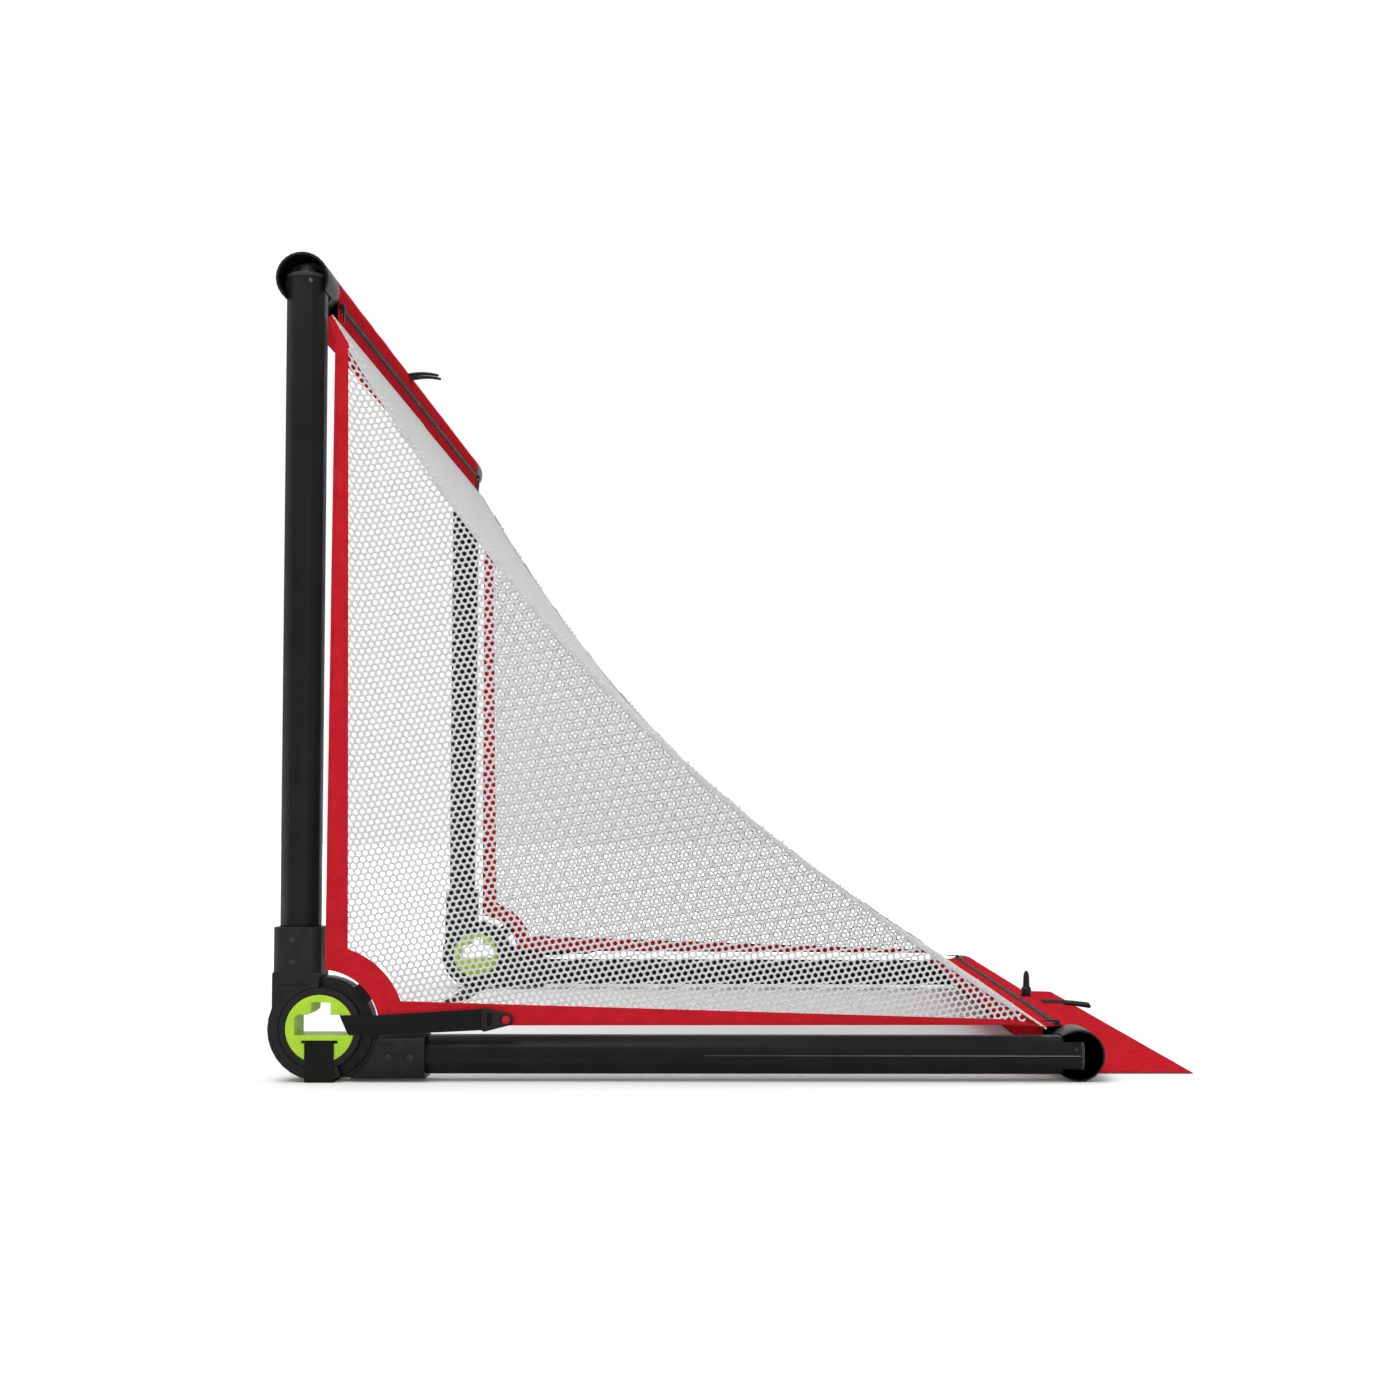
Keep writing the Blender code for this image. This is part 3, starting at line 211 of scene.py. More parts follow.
def startMaterial(name, look):
    material = bpy.data.materials.new(name)
    material.use_nodes = True
    tree = material.node_tree
    shader = tree.nodes["Principled BSDF"]
    feed(shader, {"Metallic": look["metallic"], "Specular IOR Level": look["specular"]})
    return material, tree, shader


def solidMaterial(name, look):
    # moulded, painted or metal surface with mottled colour, fine grain and uneven gloss
    material, tree, shader = startMaterial(name, look)
    where = tree.nodes.new("ShaderNodeTexCoord").outputs["Object"]
    mottle = ranged(tree, noiseOf(tree, where, look["mottleScale"], 4.0), 0.0, 1.0)
    gloss = noiseOf(tree, where, look["glossScale"], 3.0)
    grain = noiseOf(tree, where, look["grainScale"], 2.0)
    colour = mixed(tree, mottle, look["dark"], look["light"])
    uneven = ranged(tree, gloss, *look["roughness"])
    normal = bumped(tree, grain, look["grainDepth"])
    feed(shader, {"Base Color": colour, "Roughness": uneven, "Normal": normal})
    return material


def wovenMaterial(name, look):
    # threads over and under each other on the piece's own UV map, which is in metres
    material, tree, shader = startMaterial(name, look)
    do = partial(calc, tree)
    uv = tree.nodes.new("ShaderNodeTexCoord").outputs["UV"]
    split = added(tree, "ShaderNodeSeparateXYZ", {0: uv}).outputs
    turns = [do("MULTIPLY", split[k], math.pi / look["pitch"][k]) for k in (0, 1)]
    waveU, waveV = (do("SINE", turn) for turn in turns)
    over = do("GREATER_THAN", do("MULTIPLY", waveU, waveV), 0.0)
    warp = do("MULTIPLY", do("ABSOLUTE", waveU), over)
    weft = do("MULTIPLY", do("ABSOLUTE", waveV), do("SUBTRACT", 1.0, over))
    height = do("ADD", warp, weft)
    mottle = noiseOf(tree, uv, look["mottleScale"], 4.0, 0.6)
    yarn = noiseOf(tree, uv, look["yarnScale"], 2.0)
    base = mixed(tree, ranged(tree, mottle, 0.0, 1.0), look["dark"], look["light"])
    # the colour is darker where the weave is low between the threads, which is painted shade, and
    # it varies with the yarn's own random tone
    shadeAndYarn = do("ADD", do("MULTIPLY", height, 0.7), do("MULTIPLY", yarn, 0.45))
    valley = tuple(part * look["valley"] for part in look["dark"])
    colour = mixed(tree, ranged(tree, shadeAndYarn, 0.0, 1.0, 0.1, 0.8), valley, base)
    uneven = ranged(tree, mottle, *look["roughness"])
    normal = bumped(tree, height, look["depth"], 0.8)
    feed(shader, {"Base Color": colour, "Roughness": uneven, "Normal": normal})
    return material


# Scales are for a metre, and pitches and depths are metres. A look with a pitch is woven.
usualSolid = {
    "metallic": 0.0,
    "specular": 0.5,
    "mottleScale": 60.0,
    "glossScale": 25.0,
    "grainScale": 900.0,
    "grainDepth": 0.00008,
}
usualWoven = {
    "metallic": 0.0,
    "specular": 0.3,
    "mottleScale": 35.0,
    "yarnScale": 420.0,
    # painted shade: the share of the colour that is left in the gaps between the threads
    "valley": 0.62,  # how dark the cloth is between the threads
}
looks = {
    "blackPlastic": {
        "dark": (0.0060, 0.0060, 0.0064),
        "light": (0.0105, 0.0105, 0.0110),
        "roughness": (0.36, 0.50),
        "grainScale": 1400.0,
        "specular": 0.16,
    },
    "blackTube": {
        "dark": (0.0050, 0.0050, 0.0054),
        "light": (0.0088, 0.0088, 0.0092),
        "roughness": (0.32, 0.44),
        "grainScale": 480.0,
        "grainDepth": 0.00009,
        "mottleScale": 18.0,
        "specular": 0.10,
    },
    "glossBlack": {
        "dark": (0.0045, 0.0045, 0.0048),
        "light": (0.0080, 0.0080, 0.0084),
        "roughness": (0.36, 0.48),
        "grainScale": 700.0,
        "grainDepth": 0.00004,
        "specular": 0.13,
    },
    "greyPlastic": {
        "dark": (0.020, 0.020, 0.021),
        "light": (0.032, 0.032, 0.033),
        "roughness": (0.32, 0.45),
        "grainScale": 800.0,
        "grainDepth": 0.00003,
        "specular": 0.18,
    },
    "limePlastic": {
        "dark": (0.345, 0.575, 0.020),
        "light": (0.415, 0.665, 0.032),
        "roughness": (0.34, 0.48),
        "grainScale": 1300.0,
        "grainDepth": 0.00006,
        "specular": 0.30,
    },
    "darkScrew": {
        # also the rear corner screws' finish, where it is painted shade
        "dark": (0.022, 0.022, 0.024),
        "light": (0.052, 0.052, 0.056),
        "metallic": 1.0,
        "roughness": (0.30, 0.46),
        "grainScale": 1600.0,
        "grainDepth": 0.00005,
    },
    # lighter than the rear corner screws' finish for the same screw: painted light on the top
    # corner screws
    "brightScrew": {
        "dark": (0.055, 0.055, 0.058),
        "light": (0.090, 0.090, 0.095),
        "metallic": 1.0,
        "roughness": (0.26, 0.42),
        "grainScale": 1600.0,
        "grainDepth": 0.00005,
    },
    "zipMetal": {
        "dark": (0.012, 0.0115, 0.0105),
        "light": (0.026, 0.025, 0.023),
        "metallic": 0.4,
        "roughness": (0.42, 0.6),
        "specular": 0.2,
        "grainScale": 1500.0,
        "grainDepth": 0.00006,
    },
    "netYarn": {
        "dark": (0.58, 0.58, 0.58),
        "light": (0.69, 0.69, 0.69),
        "roughness": (0.66, 0.84),
        "mottleScale": 150.0,
        "grainScale": 2400.0,
        "grainDepth": 0.0003,
        "specular": 0.15,
    },
    "redCloth": {
        "dark": (0.53, 0.0150, 0.0240),
        "light": (0.67, 0.0225, 0.0345),
        "roughness": (0.70, 0.88),
        "pitch": (0.00065, 0.00065),
        "depth": 0.00020,
        "specular": 0.0,
    },
    "redThread": {
        "dark": (0.34, 0.006, 0.012),
        "light": (0.62, 0.020, 0.036),
        "roughness": (0.60, 0.80),
        "mottleScale": 900.0,
        "grainScale": 2600.0,
        "grainDepth": 0.0003,
        "specular": 0.12,
    },
    "webbing": {
        "dark": (0.0055, 0.0055, 0.0060),
        "light": (0.0110, 0.0110, 0.0115),
        "roughness": (0.62, 0.82),
        "pitch": (0.0022, 0.0013),
        "depth": 0.0004,
        "valley": 0.4,
        "specular": 0.12,
    },
    "zipTape": {
        "dark": (0.018, 0.017, 0.016),
        "light": (0.030, 0.029, 0.027),
        "roughness": (0.70, 0.88),
        "pitch": (0.0010, 0.0008),
        "depth": 0.0002,
        "specular": 0.12,
    },
    "whiteTape": {
        "dark": (0.55, 0.55, 0.55),
        "light": (0.66, 0.66, 0.66),
        "roughness": (0.70, 0.86),
        "pitch": (0.0009, 0.0009),
        "depth": 0.0002,
        "valley": 0.82,
        "specular": 0.15,
    },
    # painted highlight: the light caught along the base tubes' groove
    "paleLine": {
        "dark": (0.20, 0.20, 0.21),
        "light": (0.30, 0.30, 0.31),
        "roughness": (0.30, 0.45),
        "specular": 0.3,
    },
}
finish = {}
for name, look in looks.items():
    if "pitch" in look:
        finish[name] = wovenMaterial(name, {**usualWoven, **look})
    else:
        finish[name] = solidMaterial(name, {**usualSolid, **look})


def shadeSmooth(mesh, angle):
    mesh.shade_smooth()
    mesh.set_sharp_from_angle(angle=math.radians(angle))


@contextmanager
def shaped(mesh):
    # the mesh opened for bmesh's tools and written back after them
    shape = bmesh.new()
    shape.from_mesh(mesh)
    yield shape
    shape.to_mesh(mesh)
    shape.free()


def placed(name, data):
    piece = bpy.data.objects.new(name, data)
    bpy.context.scene.collection.objects.link(piece)
    return piece


def rawPiece(name, points, lines, faces):
    data = bpy.data.meshes.new(name)
    data.from_pydata(points, lines, faces)
    return placed(name, data)


def newPiece(name, vertices, faces, material, uv=None, angle=32):
    points = np.asarray(vertices, float).tolist()
    piece = rawPiece(name, points, [], [list(face) for face in faces])
    mesh = piece.data
    if uv is not None:
        layer = mesh.uv_layers.new(name="UVMap")
        corners = np.zeros(len(mesh.loops), np.int32)
        mesh.loops.foreach_get("vertex_index", corners)
        layer.data.foreach_set("uv", np.asarray(uv, np.float32)[corners].ravel())
    with shaped(mesh) as shape:
        bmesh.ops.recalc_face_normals(shape, faces=shape.faces)
    mesh.materials.append(finish[material])
    shadeSmooth(mesh, angle)
    return piece


def slab(name, grid, thick, material, uv, angle=50):
    # a sheet with two faces and closed rims round a grid of middle points
    rows, columns = grid.shape[:2]
    normal = np.cross(np.gradient(grid, axis=0), np.gradient(grid, axis=1))
    normal /= np.linalg.norm(normal, axis=2, keepdims=True)
    half = np.broadcast_to(np.asarray(thick) / 2, (rows, columns))[..., None]
    points = np.concatenate([(grid + way * half).reshape(-1, 3) for way in (normal, -normal)])
    index = np.arange(rows * columns).reshape(rows, columns)
    cells = [index[:-1, :-1], index[1:, :-1], index[1:, 1:], index[:-1, 1:]]
    quads = [np.stack(cells, -1).reshape(-1, 4)]
    quads.append(quads[0][:, ::-1] + rows * columns)
    for line in (index[0], index[-1], index[:, 0], index[:, -1]):
        far = line + rows * columns
        quads.append(np.stack([line[:-1], line[1:], far[1:], far[:-1]], -1))
    flat = np.asarray(uv, float).reshape(-1, 2)
    faces = np.concatenate(quads).tolist()
    return newPiece(name, points, faces, material, np.concatenate([flat, flat]), angle)


def hemmed(rows, columns, thick, ends=(True, True), edges=(True, True), rim=0.55):
    # full thickness inside, thinner at the rims, so that the edge looks turned
    profile = np.ones((rows, columns)) * thick
    for on, at in zip(ends, (0, -1)):
        if on:
            profile[at, :] *= rim
    for on, at in zip(edges, (0, -1)):
        if on:
            profile[:, at] *= rim
    return profile


def sampled(points, count):
    # evenly spaced points on a line through the given ones
    points = np.asarray(points, float)
    steps = np.linalg.norm(np.diff(points, axis=0), axis=1)
    at = np.concatenate([[0], np.cumsum(steps)])
    want = np.linspace(0, at[-1], count)
    return np.stack([np.interp(want, at, points[:, k]) for k in range(points.shape[1])], -1)


def softened(points, radius, steps, longest=0.45):
    # the same line with its corners rounded off, over no more than a share of each leg
    points = [Vector(point) for point in points]
    made = [points[0]]
    for before, here, after in zip(points, points[1:], points[2:]):
        legs = (before - here, after - here)
        first, last = (
            here + leg.normalized() * min(radius, leg.length * longest) for leg in legs
        )
        for k in range(steps + 1):
            share = k / steps
            made.append(first.lerp(here, share).lerp(here.lerp(last, share), share))
    made.append(points[-1])
    return np.array([list(point) for point in made])


def runLength(points):
    return np.concatenate([[0], np.cumsum(np.linalg.norm(np.diff(points, axis=0), axis=1))])


def ringFaces(rings, count):
    # the faces between neighbouring rings of as many points
    faces = []
    for k in range(rings - 1):
        for j in range(count):
            after, low, high = (j + 1) % count, k * count, (k + 1) * count
            faces.append((low + j, low + after, high + after, high + j))
    return faces


def ringCaps(rings, count):
    return [tuple(range(count))[::-1], tuple(range((rings - 1) * count, rings * count))]


def circleTurns(count):
    return np.linspace(0, 2 * np.pi, count, endpoint=False)


def joined(name, pieces, angle):
    # one piece of several, which are removed
    piece = rawPiece(name, [], [], [])
    shape = bmesh.new()
    for part in pieces:
        shape.from_mesh(part.data)
    shape.to_mesh(piece.data)
    shape.free()
    for material in pieces[0].data.materials:
        piece.data.materials.append(material)
    for part in pieces:
        bpy.data.objects.remove(part, do_unlink=True)
    shadeSmooth(piece.data, angle)
    return piece


def baked(piece):
    # the piece's evaluated mesh in place of its modifiers
    bpy.context.view_layer.update()
    graph = bpy.context.evaluated_depsgraph_get()
    mesh = bpy.data.meshes.new_from_object(piece.evaluated_get(graph))
    piece.modifiers.clear()
    old = piece.data
    piece.data = mesh
    bpy.data.meshes.remove(old)
    mesh.name = piece.name
    return piece


def bodyOf(node):
    return nodes[node]["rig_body"]


def settle(piece, body):
    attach(piece, body)


def standFor(piece, node):
    # the piece rides where the node does and takes its place
    settle(piece, bodyOf(node))
    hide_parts(node)


print("hard pieces")

# How the CAD parts' edges are rounded, in metres and degrees
rounding = {"weld": 0.00002, "flat": 0.8, "corner": 30, "smooth": 40, "segments": 3}
pullRounding = 0.0005

# The CAD parts of each side frame: the width of the rounding, the finish and the slot
dressed = {
    "post_knuckle": (0.0010, "blackPlastic", "black_plastic"),
    "base_knuckle": (0.0010, "blackPlastic", "black_plastic"),
    "hub_core": (0.0007, "limePlastic", "lime_plastic"),
    "hub_ring": (0.00035, "limePlastic", "lime_plastic"),
    "post_tube": (0.0005, "blackTube", "black_tube"),
    "post_cap": (0.0007, "greyPlastic", "grey_plastic"),
    "base_tube": (0.0005, "blackTube", "black_tube"),
    "base_cap": (0.0007, "greyPlastic", "grey_plastic"),
    "top_corner_shell": (0.0009, "glossBlack", "black_plastic"),
    "rear_corner_shell": (0.0009, "glossBlack", "black_plastic"),
    "tension_buckle": (0.0009, "blackPlastic", "black_plastic"),
}


def dressNode(node, width, material, slot):
    # a welded copy of a node with rounded edges
    piece = placed(node + "_finished", nodes[node].data.copy())
    with shaped(piece.data) as shape:
        bmesh.ops.remove_doubles(shape, verts=shape.verts, dist=rounding["weld"])
        flat = math.radians(rounding["flat"])
        bmesh.ops.dissolve_limit(shape, angle_limit=flat, verts=shape.verts, edges=shape.edges)
    piece.data.materials.clear()
    piece.data.materials.append(finish[material])
    bevel = piece.modifiers.new("rounding", "BEVEL")
    bevel.width = width
    bevel.segments = rounding["segments"]
    bevel.limit_method = "ANGLE"
    bevel.angle_limit = math.radians(rounding["corner"])
    bevel.use_clamp_overlap = False
    baked(piece)
    shadeSmooth(piece.data, rounding["smooth"])
    standFor(piece, node)


for side in sides:
    for part, look in dressed.items():
        dressNode(f"{side}_{part}", *look)

# The two-pronged tab, the upright buckle and the buckles' studs, in metres
fitting = {
    "rows": 44,
    "columns": 9,
    "tongueEnd": 0.0004,
    "prong": {"width": 0.0135, "thick": 0.0052, "tip": 0.0030, "bow": 0.0030},
    "root": {"thick": 0.0070, "tip": 0.0042, "bow": 0.0006},
    "rootLength": 0.017,
    "upright": [  # height above the sleeve, half width and half depth
        (0, 0.0098, 0.0080),
        (0.0004, 0.0100, 0.0082),
        (0.0125, 0.0100, 0.0082),
        (0.0150, 0.0092, 0.0074),
        (0.0165, 0.0076, 0.0056),
        (0.0180, 0.0074, 0.0054),
        (0.0310, 0.0068, 0.0050),
        (0.0365, 0.0062, 0.0046),
        (0.0405, 0.0050, 0.0038),
        (0.0430, 0.0032, 0.0025),
        (0.0440, 0.0010, 0.0008),
    ],
    "uprightCorner": 0.55,  # 1 is an ellipse, and less is squarer
    "stud": [  # height above the buckle, and share of the radius
        (-0.0002, 1.0),
        (0.0006, 1.0),
        (0.00102, 0.93),
        (0.0012, 0.8),
        (0.00132, 0.35),
    ],
    "studRadius": 0.0058,
    "studBack": 0.0094,  # before the buckle's tip
    "steps": 40,
    "tabSmooth": 50,
    "ringSmooth": 34,
}


def tongue(name, x, start, length, width, thick, tip, bow):
    # a flat tongue along Y with a round end
    rows, columns = fitting["rows"], fitting["columns"]
    share = np.linspace(0, 1, rows)
    left = np.clip((length * (1 - share)) / (width / 2), fitting["tongueEnd"], 1)
    wide = width * np.sqrt(1 - (1 - left) ** 2)
    across = np.linspace(-0.5, 0.5, columns)
    grid = np.zeros((rows, columns, 3))
    grid[..., 0] = x + wide[:, None] * across
    grid[..., 1] = (start.y + length * share)[:, None]
    grid[..., 2] = (start.z + bow * np.sin(math.pi * share))[:, None]
    body = hemmed(rows, columns, 1.0, ends=(False, True), rim=0.5)
    profile = (thick + (tip - thick) * share)[:, None] * body
    return slab(name, grid, profile, "blackPlastic", grid[..., :2])


def topFitting():
    low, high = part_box("top_bundle_strap")
    start = Vector((0, low.y, (low.z + high.z) / 2))
    half = fitting["prong"]["width"] / 2
    places = (low.x + half, high.x - half)
    pieces = [tongue("prong", x, start, high.y - low.y, **fitting["prong"]) for x in places]
    x, wide = (low.x + high.x) / 2, high.x - low.x
    pieces.append(tongue("root", x, start, fitting["rootLength"], wide, **fitting["root"]))
    piece = joined("top_bundle_strap_finished", pieces, fitting["tabSmooth"])
    standFor(piece, "top_bundle_strap")


def stacked(name, rings, material):
    # a closed skin over rings of equal numbers of points
    count = len(rings[0])
    points = np.concatenate([np.asarray(ring, float) for ring in rings])
    faces = ringCaps(len(rings), count) + ringFaces(len(rings), count)
    return newPiece(name, points, faces, material, angle=fitting["ringSmooth"])


def rearFitting():
    low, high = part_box("rear_bundle_strap")
    turns, corner = circleTurns(fitting["steps"]), fitting["uprightCorner"]
    across, deep = (np.sign(way) * np.abs(way) ** corner for way in (np.cos(turns), np.sin(turns)))
    rings = []
    for height, halfWide, halfDeep in fitting["upright"]:
        x = (low.x + high.x) / 2 + halfWide * across
        y = (low.y + high.y) / 2 + halfDeep * deep
        rings.append(np.stack([x, y, np.full_like(x, low.z + height)], -1))
    piece = stacked("rear_bundle_strap_finished", rings, "blackPlastic")
    standFor(piece, "rear_bundle_strap")


def buckleStud(side, sign):
    # the red stud that holds the buckle on the bottom edge
    low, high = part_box(f"{side}_tension_buckle")
    outer = high.x if sign > 0 else low.x
    y, z = high.y - fitting["studBack"], (low.z + high.z) / 2
    turns = circleTurns(fitting["steps"])
    rings = []
    for rise, size in fitting["stud"]:
        x, radius = np.full(len(turns), outer + sign * rise), fitting["studRadius"] * size
        rings.append(np.stack([x, y + radius * np.cos(turns), z + radius * np.sin(turns)], -1))
    piece = stacked(f"{side}_buckle_stud", rings, "redThread")
    settle(piece, bodyOf(f"{side}_tension_buckle"))


topFitting()
rearFitting()
for side, sign in sides.items():
    buckleStud(side, sign)

for name, node in nodes.items():
    bar = "outer_tube" in name or "inner_tube" in name
    if bar or "glide" in name:
        node.data.materials.clear()
        node.data.materials.append(finish["blackTube" if bar else "blackPlastic"])


print("screws")

# A screw's head radius and rise, then its shank's radius and reach, in metres
screw = {
    "corner": (0.0029, 0.0010, 0.0016, 0.0110),
    "knuckle": (0.0047, 0.0013, 0.0030, 0.0120),
    "inset": 0.0080,  # from the tapped bar's end to the middle of a head
    "lift": 0.0001,
    "dome": [(1.0, 0.45), (0.93, 0.78), (0.74, 0.97)],  # shares of the radius and the rise
    "crossReach": 0.62,
    "crossWaist": 0.17,
    "crossTaper": 0.93,
    "crossSharp": 6,
    "crossDepth": 0.0007,
    "steps": 32,
    "smooth": 28,
}


def screwMesh(name, at, sign, size, material):
    # a pan head with a cross recess on a shank, pointing out along X
    radius, rise, shank, reach = size
    count, floor = screw["steps"], rise - screw["crossDepth"]
    turns = circleTurns(count)
    arm = np.abs(np.cos(2 * turns)) ** screw["crossSharp"]
    cross = radius * (screw["crossWaist"] + (screw["crossReach"] - screw["crossWaist"]) * arm)
    plain = np.ones_like(turns)
    rings = [(plain * shank, -reach), (plain * shank, -screw["lift"]), (plain * radius, 0.0)]
    rings += [(plain * radius * wide, rise * high) for wide, high in screw["dome"]]
    rings += [(cross, rise), (cross * screw["crossTaper"], floor)]
    points = []
    for spread, height in rings:
        for turn, out in zip(turns, spread):
            points.append((sign * height, out * math.cos(turn), out * math.sin(turn)))
    points += [(-sign * reach, 0, 0), (sign * floor, 0, 0)]
    faces = ringFaces(len(rings), count)
    last = (len(rings) - 1) * count
    for j in range(count):
        after = (j + 1) % count
        faces.append((len(points) - 2, j, after))
        faces.append((len(points) - 1, last + after, last + j))
    points = np.array(points) + np.array(at)
    return newPiece(name, points, faces, material, angle=screw["smooth"])


def cornerScrew(side, sign, part):
    node = f"{side}_{part}_corner_screw"
    at, ends = middle(node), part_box(f"{side}_post_tube")
    at.x = ends[1].x if sign > 0 else ends[0].x
    # the top corner screws get the lighter finish as painted light and the rear ones the darker
    # finish as painted shade; the screws themselves are alike
    metal = "brightScrew" if part == "top" else "darkScrew"
    piece = screwMesh(node + "_finished", at, sign, screw["corner"], metal)
    standFor(piece, node)


def knuckleScrews(side, sign, part):
    node = f"{side}_{part}_knuckle_screws"
    low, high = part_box(node)
    axis = 2 if part == "post" else 1
    heads = []
    for end in (low[axis] + screw["inset"], high[axis] - screw["inset"]):
        at = middle(node)
        at.x = sign * (halfWidth + screw["lift"])
        at[axis] = end
        heads.append(screwMesh(f"{node}_head", at, sign, screw["knuckle"], "darkScrew"))
    standFor(joined(node + "_finished", heads, screw["smooth"]), node)


for side, sign in sides.items():
    for part in ("top", "rear"):
        cornerScrew(side, sign, part)
    for part in ("post", "base"):
        knuckleScrews(side, sign, part)


print("nets")

# The six-sided mesh, in metres
netCut = {
    "pitch": 0.0098,
    "strand": 0.0035,
    "ridge": 0.0015,
    "rimRidge": 0.42,  # the strands are pressed to this share of it in the seams
    "rimReach": 0.006,
    "inset": 0.0045,  # the lattice ends this far inside the sewn edge
    "sideTurn": 9.5,  # degrees that the rows of the side nets rise towards the rear
    "tuck": 0.0060,  # how far the net goes into its red edges
    "sideOut": -0.0008,
    "sideWave": 0.0016,
    "sideLength": 0.30,  # of a wave
    "stretch": 0.0120,  # the first columns are pulled up beside the front edge
    "stretchReach": 0.0090,
    "stretchFade": 0.1,
    "fadeFront": 0.03,  # the waves start this far inside the front seam
    "fadeLow": 0.04,
    "fadeReach": 0.08,
    "fadeSag": 0.06,
    "backWave": 0.0022,
    "backLength": 0.23,
    "halfOffset": 0.0008,
    "backReach": 0.120,  # the back net's cells are stretched over this width
    "backShort": 0.0012,
    "behindEdge": 0.0030,  # how much further in they stay under the front edge's top
    "edgeShare": 0.050,  # which ends at this share of the sag curve
    "edgeFade": 0.012,
    "blendShare": 0.88,
    "halfLap": 0.0040,  # each half goes this far past the middle
    "outerShort": 0.002,
    "weld": 0.00003,
    "slopeStep": 0.004,
    "topStart": 0.003,  # where the side cloth's outline leaves and rejoins the sag curve
    "rearEnd": 0.01,
    "topDrop": 0.004,
    "curvePoints": 40,
    "arcPoints": 14,
    "endSides": 8,  # the most that a cut strand's end can have
}


def netCell():
    # one piece of the lattice: two crossings and the three strands that leave the upper one
    pitch = netCut["pitch"]
    share = (pitch - netCut["strand"]) / pitch
    rise = pitch / math.sqrt(3)
    holes = {
        "near": np.array([0.0, 0.0]),
        "next": np.array([pitch, 0.0]),
        "over": np.array([pitch / 2, pitch * math.sqrt(3) / 2]),
    }
    upper = np.array([pitch / 2, rise / 2])
    ends = [
        (np.array([pitch / 2, -rise / 2]), "near", "next"),
        (np.array([0.0, rise]), "over", "near"),
        (np.array([pitch, rise]), "next", "over"),
    ]
    points, faces = [], []
    for lower, left, right in ends:
        first = len(points)
        for spot in (upper, lower):
            points.append((*spot, netCut["ridge"]))
            points.append((*spot, -netCut["ridge"]))
            for hole in (left, right):
                points.append((*(holes[hole] + (spot - holes[hole]) * share), 0.0))
        topA, lowA, leftA, rightA, topB, lowB, leftB, rightB = range(first, first + 8)
        faces += [(topB, topA, leftA, leftB), (topA, topB, rightB, rightA)]
        faces += [(lowA, lowB, leftB, leftA), (lowB, lowA, rightA, rightB)]
    cell = rawPiece("netCell", points, [], faces)
    cell.data.update()
    if cell.data.polygons[0].normal.z < 0:
        cell.data.flip_normals()
    return cell


def treeWith(name, inputs):
    # a node tree for geometry with named inputs, as (socket type, default value)
    tree = bpy.data.node_groups.new(name, "GeometryNodeTree")
    for label, (kind, value) in {"Geometry": ("Geometry", None), **inputs}.items():
        kind = f"NodeSocket{kind}"
        socket = tree.interface.new_socket(label, in_out="INPUT", socket_type=kind)
        if value is not None:
            socket.default_value = value
    tree.interface.new_socket("Geometry", in_out="OUTPUT", socket_type="NodeSocketGeometry")
    return tree, tree.nodes.new("NodeGroupInput").outputs


def endTree(tree, copies, material, weld=None):
    # the copies made real, welded where a distance is given, and painted
    last = added(tree, "GeometryNodeRealizeInstances", {0: copies}).outputs[0]
    if weld is not None:
        inputs = {"Geometry": last, "Distance": weld}
        last = added(tree, "GeometryNodeMergeByDistance", inputs).outputs[0]
    inputs = {"Geometry": last, "Material": material}
    painted = added(tree, "GeometryNodeSetMaterial", inputs).outputs[0]
    added(tree, "NodeGroupOutput", {0: painted})
    return tree


